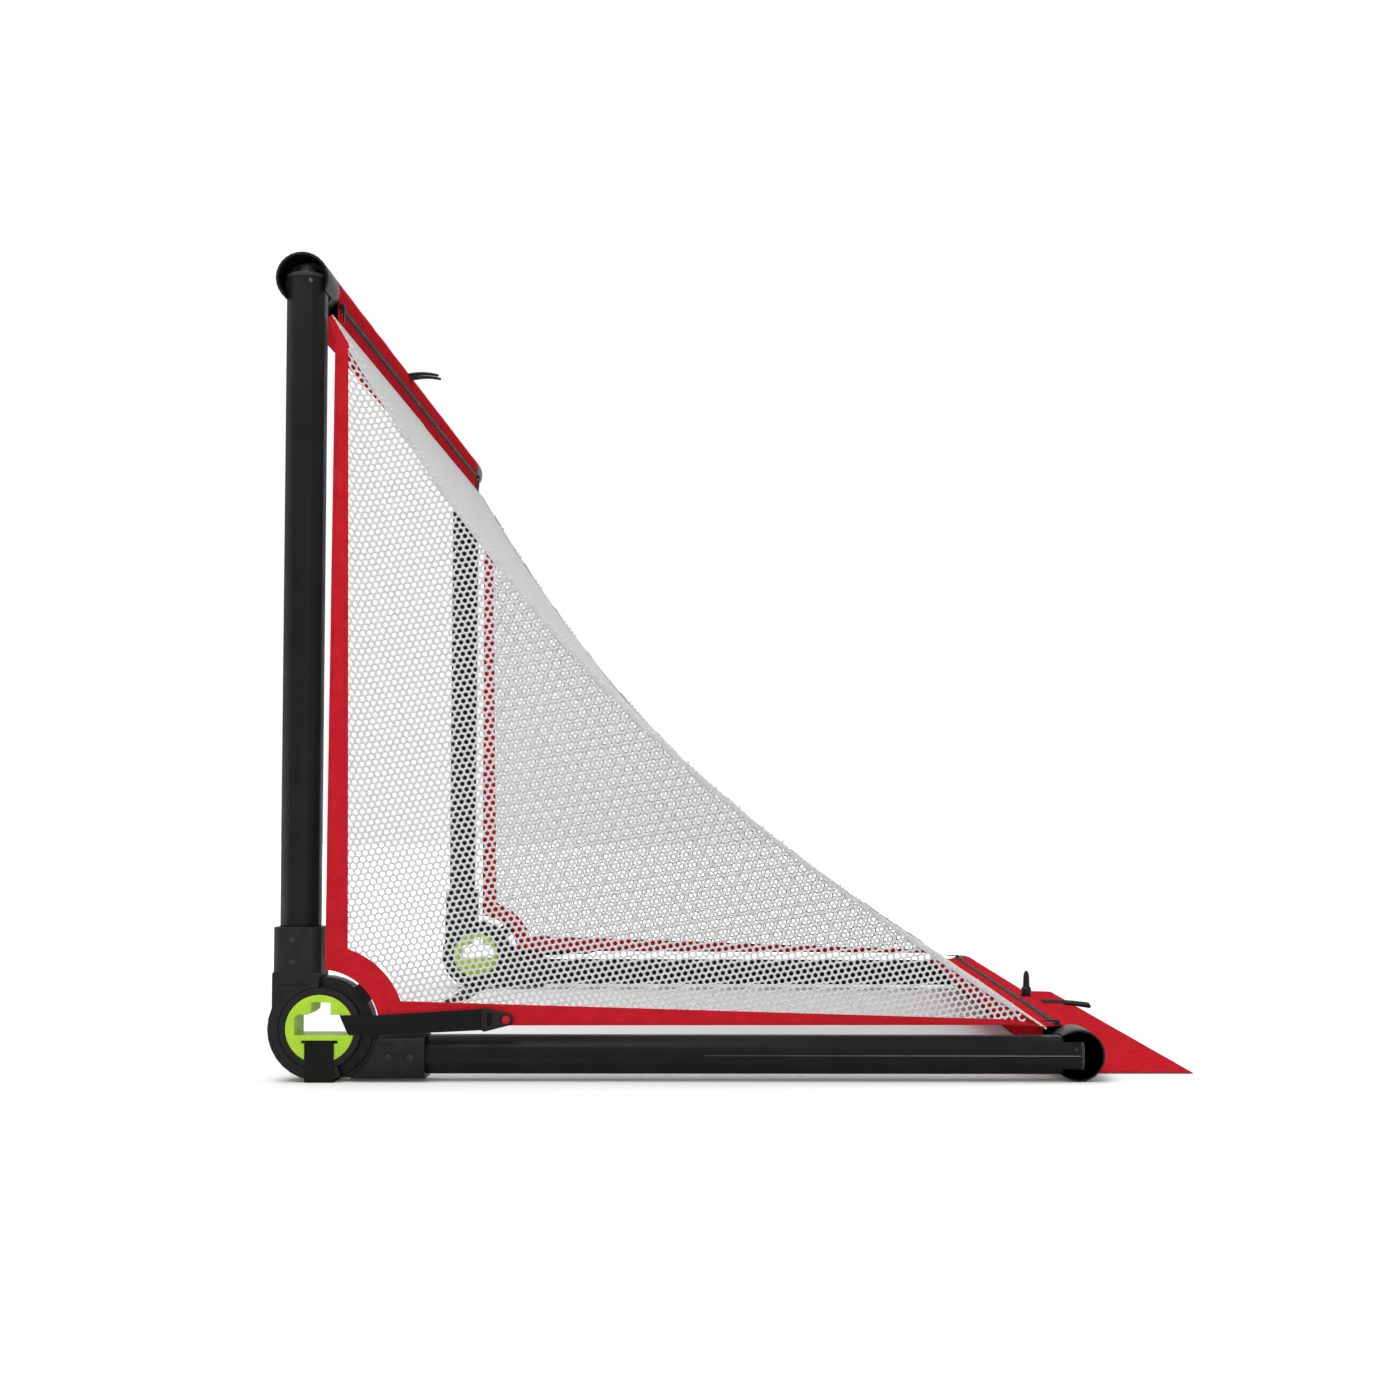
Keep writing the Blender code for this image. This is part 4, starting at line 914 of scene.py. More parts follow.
def netTree():
    # instances a cell on a staggered grid inside the outline that carries the modifier
    sizes = {"Pitch": netCut["pitch"], "Turn": 0.0, "Width": 1.0, "Height": 1.0}
    sizes.update({"Left": 0.0, "Bottom": 0.0, "Weld": netCut["weld"]})
    inputs = {label: ("Float", value) for label, value in sizes.items()}
    inputs.update({"Cell": ("Object", None), "Material": ("Material", None)})
    tree, given = treeWith("sixSidedNet", inputs)
    new, do = partial(added, tree), partial(calc, tree)
    pitch = given["Pitch"]
    rowStep = do("MULTIPLY", pitch, math.sqrt(3) / 2)
    columns = do("CEIL", do("DIVIDE", given["Width"], pitch))
    rows = do("CEIL", do("DIVIDE", given["Height"], rowStep))
    high = do("MULTIPLY", rows, rowStep)
    sizes = {"Size X": do("MULTIPLY", columns, pitch), "Size Y": high}
    sizes.update({"Vertices X": do("ADD", columns, 1.0), "Vertices Y": do("ADD", rows, 1.0)})
    grid = new("GeometryNodeMeshGrid", sizes).outputs["Mesh"]
    position = new("GeometryNodeInputPosition", {}).outputs[0]
    above = new("ShaderNodeSeparateXYZ", {0: position}).outputs[1]
    row = do("ROUND", do("DIVIDE", do("ADD", above, do("MULTIPLY", high, 0.5)), rowStep))
    shift = do("MULTIPLY", do("MODULO", row, 2.0), do("MULTIPLY", pitch, 0.5))
    offset = new("ShaderNodeCombineXYZ", {0: shift}).outputs[0]
    stagger = new("GeometryNodeSetPosition", {"Geometry": grid, "Offset": offset}).outputs[0]
    spot = new("ShaderNodeCombineXYZ", {0: given["Left"], 1: given["Bottom"]}).outputs[0]
    turn = new("ShaderNodeCombineXYZ", {2: given["Turn"]}).outputs[0]
    inputs = {"Geometry": stagger, "Translation": spot, "Rotation": turn}
    moved = new("GeometryNodeTransform", inputs).outputs[0]
    raised = new("ShaderNodeVectorMath", {0: position, 1: (0, 0, 1)}).outputs[0]
    inputs = {"Target Geometry": given["Geometry"], "Source Position": raised}
    inputs.update({"Ray Direction": (0, 0, -1), "Ray Length": 2})
    hit = new("GeometryNodeRaycast", inputs).outputs["Is Hit"]
    miss = new("FunctionNodeBooleanMath", {0: hit})
    miss.operation = "NOT"
    inputs = {"Geometry": moved, "Selection": miss.outputs[0]}
    spots = new("GeometryNodeDeleteGeometry", inputs).outputs[0]
    cell = new("GeometryNodeObjectInfo", {"Object": given["Cell"]}).outputs["Geometry"]
    inputs = {"Points": spots, "Instance": cell, "Rotation": turn}
    copies = new("GeometryNodeInstanceOnPoints", inputs).outputs[0]
    return endTree(tree, copies, given["Material"], given["Weld"])


def setInputs(modifier, values):
    sockets = modifier.node_group.interface.items_tree
    names = {item.name: item.identifier for item in sockets if item.in_out == "INPUT"}
    for name, value in values.items():
        modifier[names[name]] = value


def flatNet(name, outline, tree, cell, turn=0.0, area=None):
    # the lattice inside a flat outline, before it is bent to its surface
    outline = np.asarray(outline, float)
    low, high = np.array(area if area else (outline.min(0), outline.max(0)))
    corners = [(x, y, 0) for x, y in outline]
    piece = rawPiece(name, corners, [], [list(range(len(corners)))])
    grown = np.linalg.norm(high - low) if turn else 0
    width, height = (grown, grown) if turn else (high - low)
    modifier = piece.modifiers.new("lattice", "NODES")
    modifier.node_group = tree
    values = {"Pitch": netCut["pitch"], "Weld": netCut["weld"], "Turn": math.radians(turn)}
    values.update({"Width": float(width), "Height": float(height)})
    values.update({"Left": float(low[0] + high[0]) / 2, "Bottom": float(low[1] + high[1]) / 2})
    values.update({"Cell": cell, "Material": finish["netYarn"]})
    setInputs(modifier, values)
    return baked(piece)


def closeEnds(piece):
    # the cut strands at the rim get a face each
    with shaped(piece.data) as shape:
        rim = [edge for edge in shape.edges if edge.is_boundary]
        bmesh.ops.holes_fill(shape, edges=rim, sides=netCut["endSides"])


def bent(piece, warp):
    count = len(piece.data.vertices)
    points = np.zeros(count * 3, np.float32)
    piece.data.vertices.foreach_get("co", points)
    points = warp(points.reshape(-1, 3).astype(float))
    piece.data.vertices.foreach_set("co", points.astype(np.float32).ravel())
    piece.data.update()


cell = netCell()
lattice = netTree()


def offCurve(share, out):
    # the sag curve moved out of the goal by a distance
    step = netCut["slopeStep"]
    ahead = sagPoint(np.minimum(share + step, 1 + step)) - sagPoint(share - step)
    ahead /= np.linalg.norm(ahead, axis=-1, keepdims=True)
    normal = np.stack([-ahead[..., 1], ahead[..., 0]], -1)
    return sagPoint(share) + normal * np.asarray(out)[..., None]


def sideNetOutline():
    tuck = netCut["tuck"]
    front = cut["frontEdge"] + cut["frontTopWidth"] - tuck
    frontLow = cut["frontEdge"] + cut["frontLowWidth"] - tuck
    around = cut["arcOuter"] - tuck
    first, last = cut["netTop"] + netCut["topStart"], cut["netRear"] + netCut["rearEnd"]
    shares = np.linspace(first, last, netCut["curvePoints"])
    curve = offCurve(shares, -netCut["inset"])
    lowTurn = math.asin((cut["lowTop"] - tuck) / around)
    turns = np.linspace(lowTurn, math.acos(frontLow / around), netCut["arcPoints"])
    points = [(front, curve[0][1] - netCut["topDrop"])] + [tuple(point) for point in curve]
    points.append((curve[-1][0], cut["rearTop"] - tuck))
    return points + [(around * math.cos(turn), around * math.sin(turn)) for turn in turns]


def sideWarp(sign):
    def warp(points):
        behind, above, out = points.T
        fromFront = np.abs(behind - cut["frontEdge"] - cut["frontTopWidth"])
        pull = netCut["stretch"] * np.exp(-fromFront / netCut["stretchReach"])
        above = above + pull * np.clip((above - cut["arcOuter"]) / netCut["stretchFade"], 0, 1)
        wave = netCut["sideWave"] * ripple(behind, above, netCut["sideLength"], 3)
        wave = wave * edgeFade(behind, above)
        out = sign * out * rimThin(behind, above)
        x = sign * (faceX(behind, above) + netCut["sideOut"] + wave + out)
        return np.stack([x, hub.y + behind, hub.z + above], -1)

    return warp


def rimThin(behind, above):
    # the share of the strands' thickness that is left near the sewn edges
    up = np.clip(above / barRise, 0, 1)
    front = behind - cut["frontEdge"] - cut["frontLowWidth"] * (1 - up) - cut["frontTopWidth"] * up
    back = np.clip(behind / rearReach, 0, 1)
    low = above - cut["lowTop"] * (1 - back) - cut["rearTop"] * back
    arc = np.hypot(behind, above) - cut["arcOuter"]
    depth = np.minimum(np.minimum(front, low), np.minimum(arc, insideSag(behind, above)))
    return np.clip(depth / netCut["rimReach"], netCut["rimRidge"], 1)


def insideSag(behind, above):
    # how far a point of the side plane lies inside the sag curve
    chord = rearSeam - topSeam
    normal = np.array([-chord[1], chord[0]]) / np.linalg.norm(chord)
    depth = (behind - topSeam[0]) * normal[0] + (above - topSeam[1]) * normal[1]
    share = ((behind - topSeam[0]) * chord[0] + (above - topSeam[1]) * chord[1]) / (chord @ chord)
    return -depth - cut["sag"] * np.sin(np.pi * np.clip(share, 0, 1) ** cut["sagBias"])


def edgeFade(behind, above):
    # 0 at the side net's seams and 1 well inside it
    front = np.clip((behind - netCut["fadeFront"]) / netCut["fadeReach"], 0, 1)
    low = np.clip((above - netCut["fadeLow"]) / netCut["fadeReach"], 0, 1)
    inside = np.clip(insideSag(behind, above) / netCut["fadeSag"], 0, 1)
    return np.minimum(front, low) * inside


for side, sign in sides.items():
    outline = sideNetOutline()
    piece = flatNet(f"{side}_side_mesh", outline, lattice, cell, netCut["sideTurn"])
    bent(piece, sideWarp(sign))
    closeEnds(piece)
    settle(piece, f"{side}_base")
    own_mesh(piece)
    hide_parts(f"{side}_side_net")
    flat = np.ptp(np.array(outline), axis=0)

curveShares = np.linspace(0, 1, 400)
curveRun = runLength(sagPoint(curveShares))
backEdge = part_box("right_back_net")[1].x


def backWarp(sign):
    def warp(points):
        x, run, out = points.T
        share = np.interp(run, curveRun, curveShares)
        wave = netCut["backWave"] * ripple(run, run * 0.3, netCut["backLength"], 11)
        wave = wave * np.sin(np.pi * share)
        place = offCurve(share, out + sign * netCut["halfOffset"] + wave)
        # the outer cells are drawn out to the side cloth, which leans
        curve = sagPoint(share)
        atTop = np.clip((netCut["edgeShare"] - share) / netCut["edgeFade"], 0, 1)
        edge = faceX(curve[:, 0], curve[:, 1]) - netCut["backShort"] - netCut["behindEdge"] * atTop
        reach = netCut["backReach"]
        near = np.clip((np.abs(x) - backEdge + reach) / reach, 0, 1)
        x = x + np.sign(x) * (edge - backEdge) * near * near * (3 - 2 * near)
        return np.stack([x, hub.y + place[:, 0], hub.z + place[:, 1]], -1)

    return warp


total = curveRun[-1]
rowStep = netCut["pitch"] * math.sqrt(3) / 2
split = round(total / 2 / rowStep) * rowStep  # a whole number of rows
for side, sign in sides.items():
    far = backEdge - netCut["outerShort"]
    inner, outer = sorted((-sign * netCut["halfLap"], sign * far))
    for part, low, high in (("upper", 0.0, split), ("lower", split, total)):
        outline = [(inner, low), (outer, low), (outer, high), (inner, high)]
        area = ((inner, 0.0), (outer, total))
        piece = flatNet(f"{side}_back_mesh_{part}", outline, lattice, cell, area=area)
        bent(piece, backWarp(sign))
        closeEnds(piece)
        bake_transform(piece)
        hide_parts(f"{side}_back_net")
bpy.data.objects.remove(cell, do_unlink=True)

# The white tape that binds a side net to the back net, in metres
binding = {
    "start": 0.040,
    "end": 0.964,
    "rows": 420,
    "thick": 0.0010,
    "stand": 0.0016,
    "down": 0.0038,
    "overlap": 0.0046,
    "tuckPitch": 0.122,
    "tuckRise": 0.0024,
    "tuckSteep": 0.05,
    "tuckLong": 0.30,
    "tuckFade": 12,  # the tucks fade over the last 12th of the sag curve
}


def bindingPiece(side, sign):
    shares = np.linspace(binding["start"], binding["end"], binding["rows"])
    curve = sagPoint(shares)
    run = runLength(curve)
    turn = run / binding["tuckPitch"] % 1
    steep = binding["tuckSteep"]
    rise = np.minimum(turn / steep, 1 - (turn - steep) / binding["tuckLong"])
    fade = np.clip((1 - shares) * binding["tuckFade"], 0, 1)
    tuck = binding["tuckRise"] * np.clip(rise, 0, 1) * fade
    stand, face = binding["stand"], faceX(curve[:, 0], curve[:, 1])
    down, overlap = binding["down"], binding["overlap"]
    columns = [  # across the tape: how far out in X, and out from the sag curve
        (face + stand * 0.9, 0 * tuck - down),
        (face + stand, 0 * tuck - down * 0.4),
        (face + stand * 0.8, 0 * tuck + 0.0006),
        (face - 0.0008, stand + tuck * 0.2),
        (face - overlap * 0.4, stand + tuck),
        (face - overlap * 0.7, stand + tuck * 0.8),
        (face - overlap, stand + tuck * 0.3),
    ]
    lines = []
    for x, out in columns:
        flat = offCurve(shares, out)
        lines.append(np.stack([sign * x, hub.y + flat[:, 0], hub.z + flat[:, 1]], -1))
    grid = np.stack(lines, 1)
    across = runLength(grid[len(grid) // 2])
    uv = np.stack(np.broadcast_arrays(across[None], run[:, None]), -1)
    thick = hemmed(len(shares), len(columns), binding["thick"])
    piece = slab(f"{side}_net_binding", grid, thick, "whiteTape", uv)
    settle(piece, f"{side}_base")
    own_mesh(piece)


for side, sign in sides.items():
    bindingPiece(side, sign)


print("red cloth")

# The red edges beside the post and along the base tube, in metres
border = {
    "thick": 0.0026,
    "out": -0.0005,
    "wave": 0.0009,
    "waveLength": 0.11,
    "waveLimits": (-0.0001, 0.0004),
    "hem": 0.0045,
    "hemThin": 0.82,  # the share of the thickness that is left in the sewn lanes
    "topOut": 0.0014,  # the front edge's top goes this far past the sag curve
    "topEnd": 0.004,
    "topIn": 0.0025,
    "topDrop": 0.005,
    "shoulder": 0.040,  # below its top, where it starts to turn to the seam
    "lowShare": 0.93,  # the share of the front edge's rows below the shoulder
    "rearIn": 0.030,  # the bottom edge starts to rise this far before the rear seam
    "netIn": 0.02,
    "netRise": 0.0008,
    "tailShare": 0.05,  # the share of the straight rows that rise to the rear seam
    "tailRows": 4,
    "lowTurn": -0.4,  # degrees that the bottom edge's curve is turned round the hub
    "bends": 36,
    "frontRows": 150,
    "lowRows": 170,
    "columns": 12,
}


def onSide(sign, flat, out=0.0):
    # a flat grid or line of (behind, above) put on the leaned side plane
    behind, above = flat[..., 0], flat[..., 1]
    x = sign * (faceX(behind, above) + out)
    return np.stack([x, hub.y + behind, hub.z + above], -1)


def between(first, second, columns):
    share = np.linspace(0, 1, columns)[None, :, None]
    return first[:, None] * (1 - share) + second[:, None] * share


def frontBorderFlat():
    front, low = cut["frontEdge"], cut["frontEdge"] + cut["frontLowWidth"]
    top = topSeam[1] - cut["seamDrop"]
    lowFront = math.sqrt(cut["arcInner"] ** 2 - front**2) + cut["frontLap"]
    lowRear = math.sqrt(cut["arcOuter"] ** 2 - low**2)
    netTop = float(sagPoint(cut["netTop"])[1]) - cut["seamDrop"]
    fore = [(front, lowFront), (front, top - border["shoulder"])]
    fore.append((topSeam[0] - border["topIn"], top - border["topDrop"]))
    shares = np.linspace(cut["netTop"], border["topEnd"], 6)
    crest = [tuple(point) for point in offCurve(shares, border["topOut"] + 0 * shares)]
    rear = [(low, lowRear), (front + cut["frontTopWidth"], netTop)] + crest
    rows = border["frontRows"]
    split = round(rows * border["lowShare"])
    lines = []
    for line in (fore, rear):
        line = np.array(line)
        upper = sampled(line[1:], rows - split + 1)[1:]
        lines.append(np.concatenate([sampled(line[:2], split), upper]))
    return between(lines[0], lines[1], border["columns"])


def lowBorderFlat():
    inner, outer = cut["arcInner"], cut["arcOuter"]
    turn, bends = math.radians(border["lowTurn"]), border["bends"]
    start = math.acos(cut["frontEdge"] / inner) - turn
    startFar = math.acos((cut["frontEdge"] + cut["frontLowWidth"]) / outer) - turn
    end, endFar = math.asin(cut["lowEdge"] / inner), math.asin(cut["lowTop"] / outer)
    near = [(inner * math.cos(a), inner * math.sin(a)) for a in np.linspace(start, end, bends)]
    far = [(outer * math.cos(a), outer * math.sin(a)) for a in np.linspace(startFar, endFar, bends)]
    rows = border["lowRows"] - bends
    tail = max(border["tailRows"], round(rows * border["tailShare"]))
    netRear = float(sagPoint(cut["netRear"])[0])
    low = [near[-1], (rearSeam[0] - border["rearIn"], cut["lowEdge"])]
    low.append((rearSeam[0], rearSeam[1] + cut["seamDrop"]))
    high = [far[-1], (netRear - border["netIn"], cut["rearTop"] + border["netRise"])]
    high.append((netRear, cut["rearTop"]))
    lines = []
    for bend, line in ((near, low), (far, high)):
        line = np.array(line)
        straight = sampled(line[:2], rows - tail + 1)[1:]
        lines.append(np.concatenate([np.array(bend), straight, sampled(line[1:], tail + 1)[1:]]))
    return between(lines[0], lines[1], border["columns"])


def gridUv(grid):
    # metres along the rows and across the columns
    steps = np.linalg.norm(np.diff(grid, axis=1), axis=2)
    across = np.concatenate([np.zeros((grid.shape[0], 1)), np.cumsum(steps, 1)], 1)
    run = runLength(grid[:, grid.shape[1] // 2])[:, None] * np.ones((1, grid.shape[1]))
    return np.stack([across, run], -1)


def borderPiece(name, sign, flat, seed):
    grid = onSide(sign, flat, border["out"])
    uv = gridUv(grid)
    rows, columns = flat.shape[:2]
    wave = border["wave"] * ripple(uv[..., 1], uv[..., 0] * 2, border["waveLength"], seed)
    lane = np.sin(np.pi * np.linspace(0, 1, columns))[None]
    grid[..., 0] += sign * np.clip(wave * lane, *border["waveLimits"])
    thick = hemmed(rows, columns, border["thick"])
    thick[:, [2, -3]] *= border["hemThin"]
    return slab(name, grid, thick, "redCloth", uv)


# The thread of every seam, in metres
stitch = {
    "pitch": 0.0042,
    "length": 0.0030,
    "width": 0.00075,
    "profile": [(-1, 0.35), (-0.55, 0.9), (0.55, 0.9), (1, 0.35)],  # shares of length and width
    "sides": 6,
    "smooth": 60,
    "lift": 0.0001,
    "endRows": 3,  # an edge's seams stop this many rows before its ends
}


def stitchTree():
    # instances a small piece along a line, at one pitch, turned to follow it
    inputs = {"Pitch": ("Float", stitch["pitch"])}
    inputs.update({"Piece": ("Object", None), "Material": ("Material", None)})
    tree, given = treeWith("stitchRun", inputs)
    new = partial(added, tree)
    line = new("GeometryNodeMeshToCurve", {0: given["Geometry"]}).outputs[0]
    even = new("GeometryNodeResampleCurve", {"Curve": line})
    even.mode = "LENGTH"
    feed(even, {"Length": given["Pitch"]})
    aim = new("FunctionNodeAlignRotationToVector", {})
    aim.axis = "X"
    feed(aim, {"Vector": new("GeometryNodeInputTangent", {}).outputs[0]})
    piece = new("GeometryNodeObjectInfo", {"Object": given["Piece"]}).outputs["Geometry"]
    inputs = {"Points": even.outputs[0], "Instance": piece, "Rotation": aim.outputs[0]}
    copies = new("GeometryNodeInstanceOnPoints", inputs).outputs[0]
    return endTree(tree, copies, given["Material"])


def stitchShape():
    # a thread's short run along X, fat in its middle
    half, width, count = stitch["length"] / 2, stitch["width"] / 2, stitch["sides"]
    points = []
    for share, size in stitch["profile"]:
        for turn in circleTurns(count):
            y, z = math.cos(turn), math.sin(turn)
            points.append((half * share, width * size * y, width * size * z))
    rings = len(stitch["profile"])
    faces = ringFaces(rings, count) + ringCaps(rings, count)
    return newPiece("stitchShape", points, faces, "redThread", angle=stitch["smooth"])


threadShape = stitchShape()
stitchRun = stitchTree()


def along(name, lines, shape, pitch, material):
    # one mesh of small pieces along several lines of points
    points, links = [], []
    for line in lines:
        links += [(len(points) + k, len(points) + k + 1) for k in range(len(line) - 1)]
        points += [tuple(point) for point in line]
    piece = rawPiece(name, points, links, [])
    modifier = piece.modifiers.new("run", "NODES")
    modifier.node_group = stitchRun
    setInputs(modifier, {"Pitch": pitch, "Piece": shape, "Material": finish[material]})
    baked(piece)
    shadeSmooth(piece.data, stitch["smooth"])
    return piece


def sewnAlong(name, lines):
    return along(name, lines, threadShape, stitch["pitch"], "redThread")


def laneOf(flat, inset):
    # a line that follows one edge of a flat grid, inset from it by metres
    first, last = flat[:, 0], flat[:, -1]
    span = np.linalg.norm(last - first, axis=1)[:, None]
    if inset < 0:
        return last + (first - last) / span * -inset
    return first + (last - first) / span * inset


frontFlat, lowFlat = frontBorderFlat(), lowBorderFlat()
for side, sign in sides.items():
    flats = {"front": frontFlat, "bottom": lowFlat}
    edges = {
        "front": borderPiece(f"{side}_front_edge", sign, frontFlat, 21),
        "bottom": borderPiece(f"{side}_bottom_edge", sign, lowFlat, 22),
    }
    rise = border["out"] + border["thick"] / 2 + stitch["lift"]
    sewnRows = slice(stitch["endRows"], -stitch["endRows"])
    threads = {}
    for label, flat in flats.items():
        lanes = [laneOf(flat, border["hem"]), laneOf(flat, -border["hem"])]
        lines = [onSide(sign, lane[sewnRows], rise) for lane in lanes]
        threads[label] = sewnAlong(f"{side}_{label}_stitches", lines)
    for label, flat in flats.items():
        piece, sewn = edges[label], threads[label]
        body = f"{side}_post" if label == "front" else f"{side}_base"
        for item in (piece, sewn):
            settle(item, body)
            if label == "front":
                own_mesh(item)
            else:
                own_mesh(item)
        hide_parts(f"{side}_{label}_border")


# The sleeves sewn round the two bars, in metres
cover = {
    "wave": 0.0006,
    "waveLength": 0.07,
    "waveLimit": 0.0006,
    "tailCalm": 0.55,  # the share of the wave above the zip
    "belowZip": 0.008,
    "pucker": 0.00024,
    "puckerTurn": 330,
    "puckerReach": 0.02,
    "hang": 0.0022,  # how far the skirt sways inwards
    "hangLength": 0.09,
    "hangReach": 0.04,
    "columns": 190,
    "shellGap": 0.0003,
    "groundGap": 0.0002,
    "steps": {"skirt": 12, "rise": 10, "round": 42, "fall": 12},
}


def tangentTurns(radius, tip):
    middleTurn = math.atan2(tip[1], tip[0])
    spread = math.acos(radius / math.hypot(*tip))
    return middleTurn + spread, middleTurn - spread


def coverPath():
    # behind and above a bar's axis: up the skirt, over the bar and back to the seam
    radius = cut["coverRadius"] - cut["clothThick"] / 2
    tip = (cut["seamOut"] - cut["clothThick"] * 0.5, -cut["seamDown"])
    leave, arrive = tangentTurns(radius, tip)
    steps = cover["steps"]
    skirt = sampled([(tip[0], -cut["skirtDown"]), (tip[0], tip[1] - 0.001)], steps["skirt"])
    around = np.linspace(leave, arrive + 2 * math.pi, steps["round"])
    ring = np.stack([radius * np.cos(around), radius * np.sin(around)], -1)
    rise = sampled([tuple(skirt[-1]), tuple(ring[0])], steps["rise"])[1:-1]
    close = (tip[0] - cut["clothThick"] * 1.2, tip[1] + cut["clothThick"] * 0.4)
    fall = sampled([tuple(ring[-1]), close], steps["fall"])[1:]
    return np.concatenate([skirt, rise, ring, fall])


def roundBar(path, rear):
    # a path about the crossbar put round it or, mirrored, round the rear bar
    path = path[..., ::-1] if rear else path
    centre = np.array([rearReach, -baseDrop]) if rear else np.array([-crossbarLead, barRise])
    return path + centre


def tailPoint(down, stand=0.0):
    # on the rear of the cover's tail, at a depth below the bar's axis
    tip = np.array([cut["seamOut"], -cut["seamDown"]])
    leave = tangentTurns(cut["coverRadius"], tip)[0]
    top = np.array([math.cos(leave), math.sin(leave)]) * cut["coverRadius"]
    way = (tip - top) / np.linalg.norm(tip - top)
    normal = np.array([-way[1], way[0]])
    return top + way * ((down + top[1]) / -way[1]) + normal * stand


def coverPiece(side, sign, rear):
    name = f"{side}_{'rear' if rear else 'top'}_cover"
    path = coverPath()
    far = shellEnd - cover["shellGap"]
    xs = np.linspace(cut["halfGap"], far, cover["columns"])
    run = runLength(path)
    ahead = np.gradient(path, axis=0)
    normal = np.stack([ahead[:, 1], -ahead[:, 0]], -1)
    normal /= np.linalg.norm(normal, axis=1, keepdims=True)
    u, v = np.meshgrid(run, xs, indexing="ij")
    seed = 31 + rear * 2 + (sign > 0)
    low = path[:, 1] < -cut["zipDown"] - cover["belowZip"]
    ease = np.where(low, 1.0, cover["tailCalm"])[:, None]
    wave = cover["wave"] * ripple(v * 0.6, u * 1.6, cover["waveLength"], seed) * ease
    nearEnd = np.exp(-(far - xs) / cover["puckerReach"])[None]
    wave = wave + cover["pucker"] * np.sin(u * cover["puckerTurn"] + seed) * nearEnd
    below = (-cut["seamDown"] - path[:, 1]) / cover["hangReach"]
    hang = cover["hang"] * np.clip(below, 0, 1)[:, None]
    wave = wave - hang * (0.5 + 0.5 * ripple(v, u * 0.3, cover["hangLength"], seed + 9))
    place = path[:, None] + normal[:, None] * np.minimum(wave, cover["waveLimit"])[..., None]
    flat = roundBar(place, rear)
    x = np.broadcast_to(sign * xs, flat.shape[:2])
    grid = np.stack([x, hub.y + flat[..., 0], hub.z + flat[..., 1]], -1)
    grid[..., 2] = np.maximum(grid[..., 2], cut["clothThick"] / 2 + cover["groundGap"])
    thick = hemmed(len(path), len(xs), cut["clothThick"], edges=(False, True))
    piece = slab(name + "_sewn", grid, thick, "redCloth", np.stack([u, v], -1))
    return piece, (far, float(run[-1]))


# The zips along the sleeves, in metres
zipper = {
    "tapeWidth": 0.0112,
    "tapeThick": 0.0007,
    "tapeStand": 0.0005,
    "tapeColumns": 7,
    "tapeRows": 60,
    "shellGap": 0.0008,
    "teethGap": 0.002,
    "toothPitch": 0.0026,
    "toothLength": 0.0015,
    "toothReach": 0.0034,
    "toothThick": 0.0012,
    "toothTaper": 0.55,
    "toothSmooth": 30,
    "apart": 0.0009,
}


def barPlace(sign, xs, flat):
    # points of a line along a bar at one place of its section
    x = sign * np.asarray(xs, float)
    y, z = np.full_like(x, hub.y + flat[0]), np.full_like(x, hub.z + flat[1])
    return np.stack([x, y, z], -1)


def toothShape(label, rear, stand):
    # reaches across the zip, square to the bar, and lies on the tape
    here = roundBar(tailPoint(cut["zipDown"], stand), rear)
    way = roundBar(tailPoint(cut["zipDown"] + 0.001, stand), rear) - here
    way /= np.linalg.norm(way)
    out = roundBar(tailPoint(cut["zipDown"], stand + 0.001), rear) - here
    out /= np.linalg.norm(out)
    long, reach, tall = zipper["toothLength"] / 2, zipper["toothReach"] / 2, zipper["toothThick"]
    taper = zipper["toothTaper"]
    section = [(-reach, 0), (reach, 0), (reach, tall * taper), (reach * taper, tall)]
    section += [(-reach * taper, tall), (-reach, tall * taper)]
    points = []
    for end in (-long, long):
        points += [(end, *(way * across + out * up)) for across, up in section]
    faces = ringCaps(2, len(section)) + ringFaces(2, len(section))
    angle = zipper["toothSmooth"]
    return newPiece(label + "_tooth", points, faces, "zipMetal", angle=angle)


def zipPieces(side, sign, rear):
    label = f"{side}_{'rear' if rear else 'top'}"
    xs = np.linspace(cut["halfGap"], shellEnd - zipper["shellGap"], zipper["tapeRows"])
    half, columns = zipper["tapeWidth"] / 2, zipper["tapeColumns"]
    downs = np.linspace(-half, half, columns) + cut["zipDown"]
    places = [roundBar(tailPoint(down, zipper["tapeStand"]), rear) for down in downs]
    grid = np.stack([barPlace(sign, xs, place) for place in places])
    u, v = np.meshgrid(downs, xs, indexing="ij")
    thick = hemmed(columns, len(xs), zipper["tapeThick"])
    tape = slab(label + "_zip_tape", grid, thick, "zipTape", np.stack([u, v], -1))
    stand = zipper["tapeStand"] + zipper["tapeThick"] / 2
    tooth = toothShape(label, rear, stand)
    lines = []
    for shift, off in ((-1, 0.0), (1, zipper["toothPitch"] / 2)):
        flat = roundBar(tailPoint(cut["zipDown"] + shift * zipper["apart"], stand), rear)
        gap = zipper["teethGap"]
        ends = sorted((sign * (off + gap), sign * (shellEnd - gap)))
        lines.append(barPlace(1, np.array(ends), flat))
    teeth = along(label + "_zip_teeth", lines, tooth, zipper["toothPitch"], "zipMetal")
    bpy.data.objects.remove(tooth, do_unlink=True)
    return tape, teeth


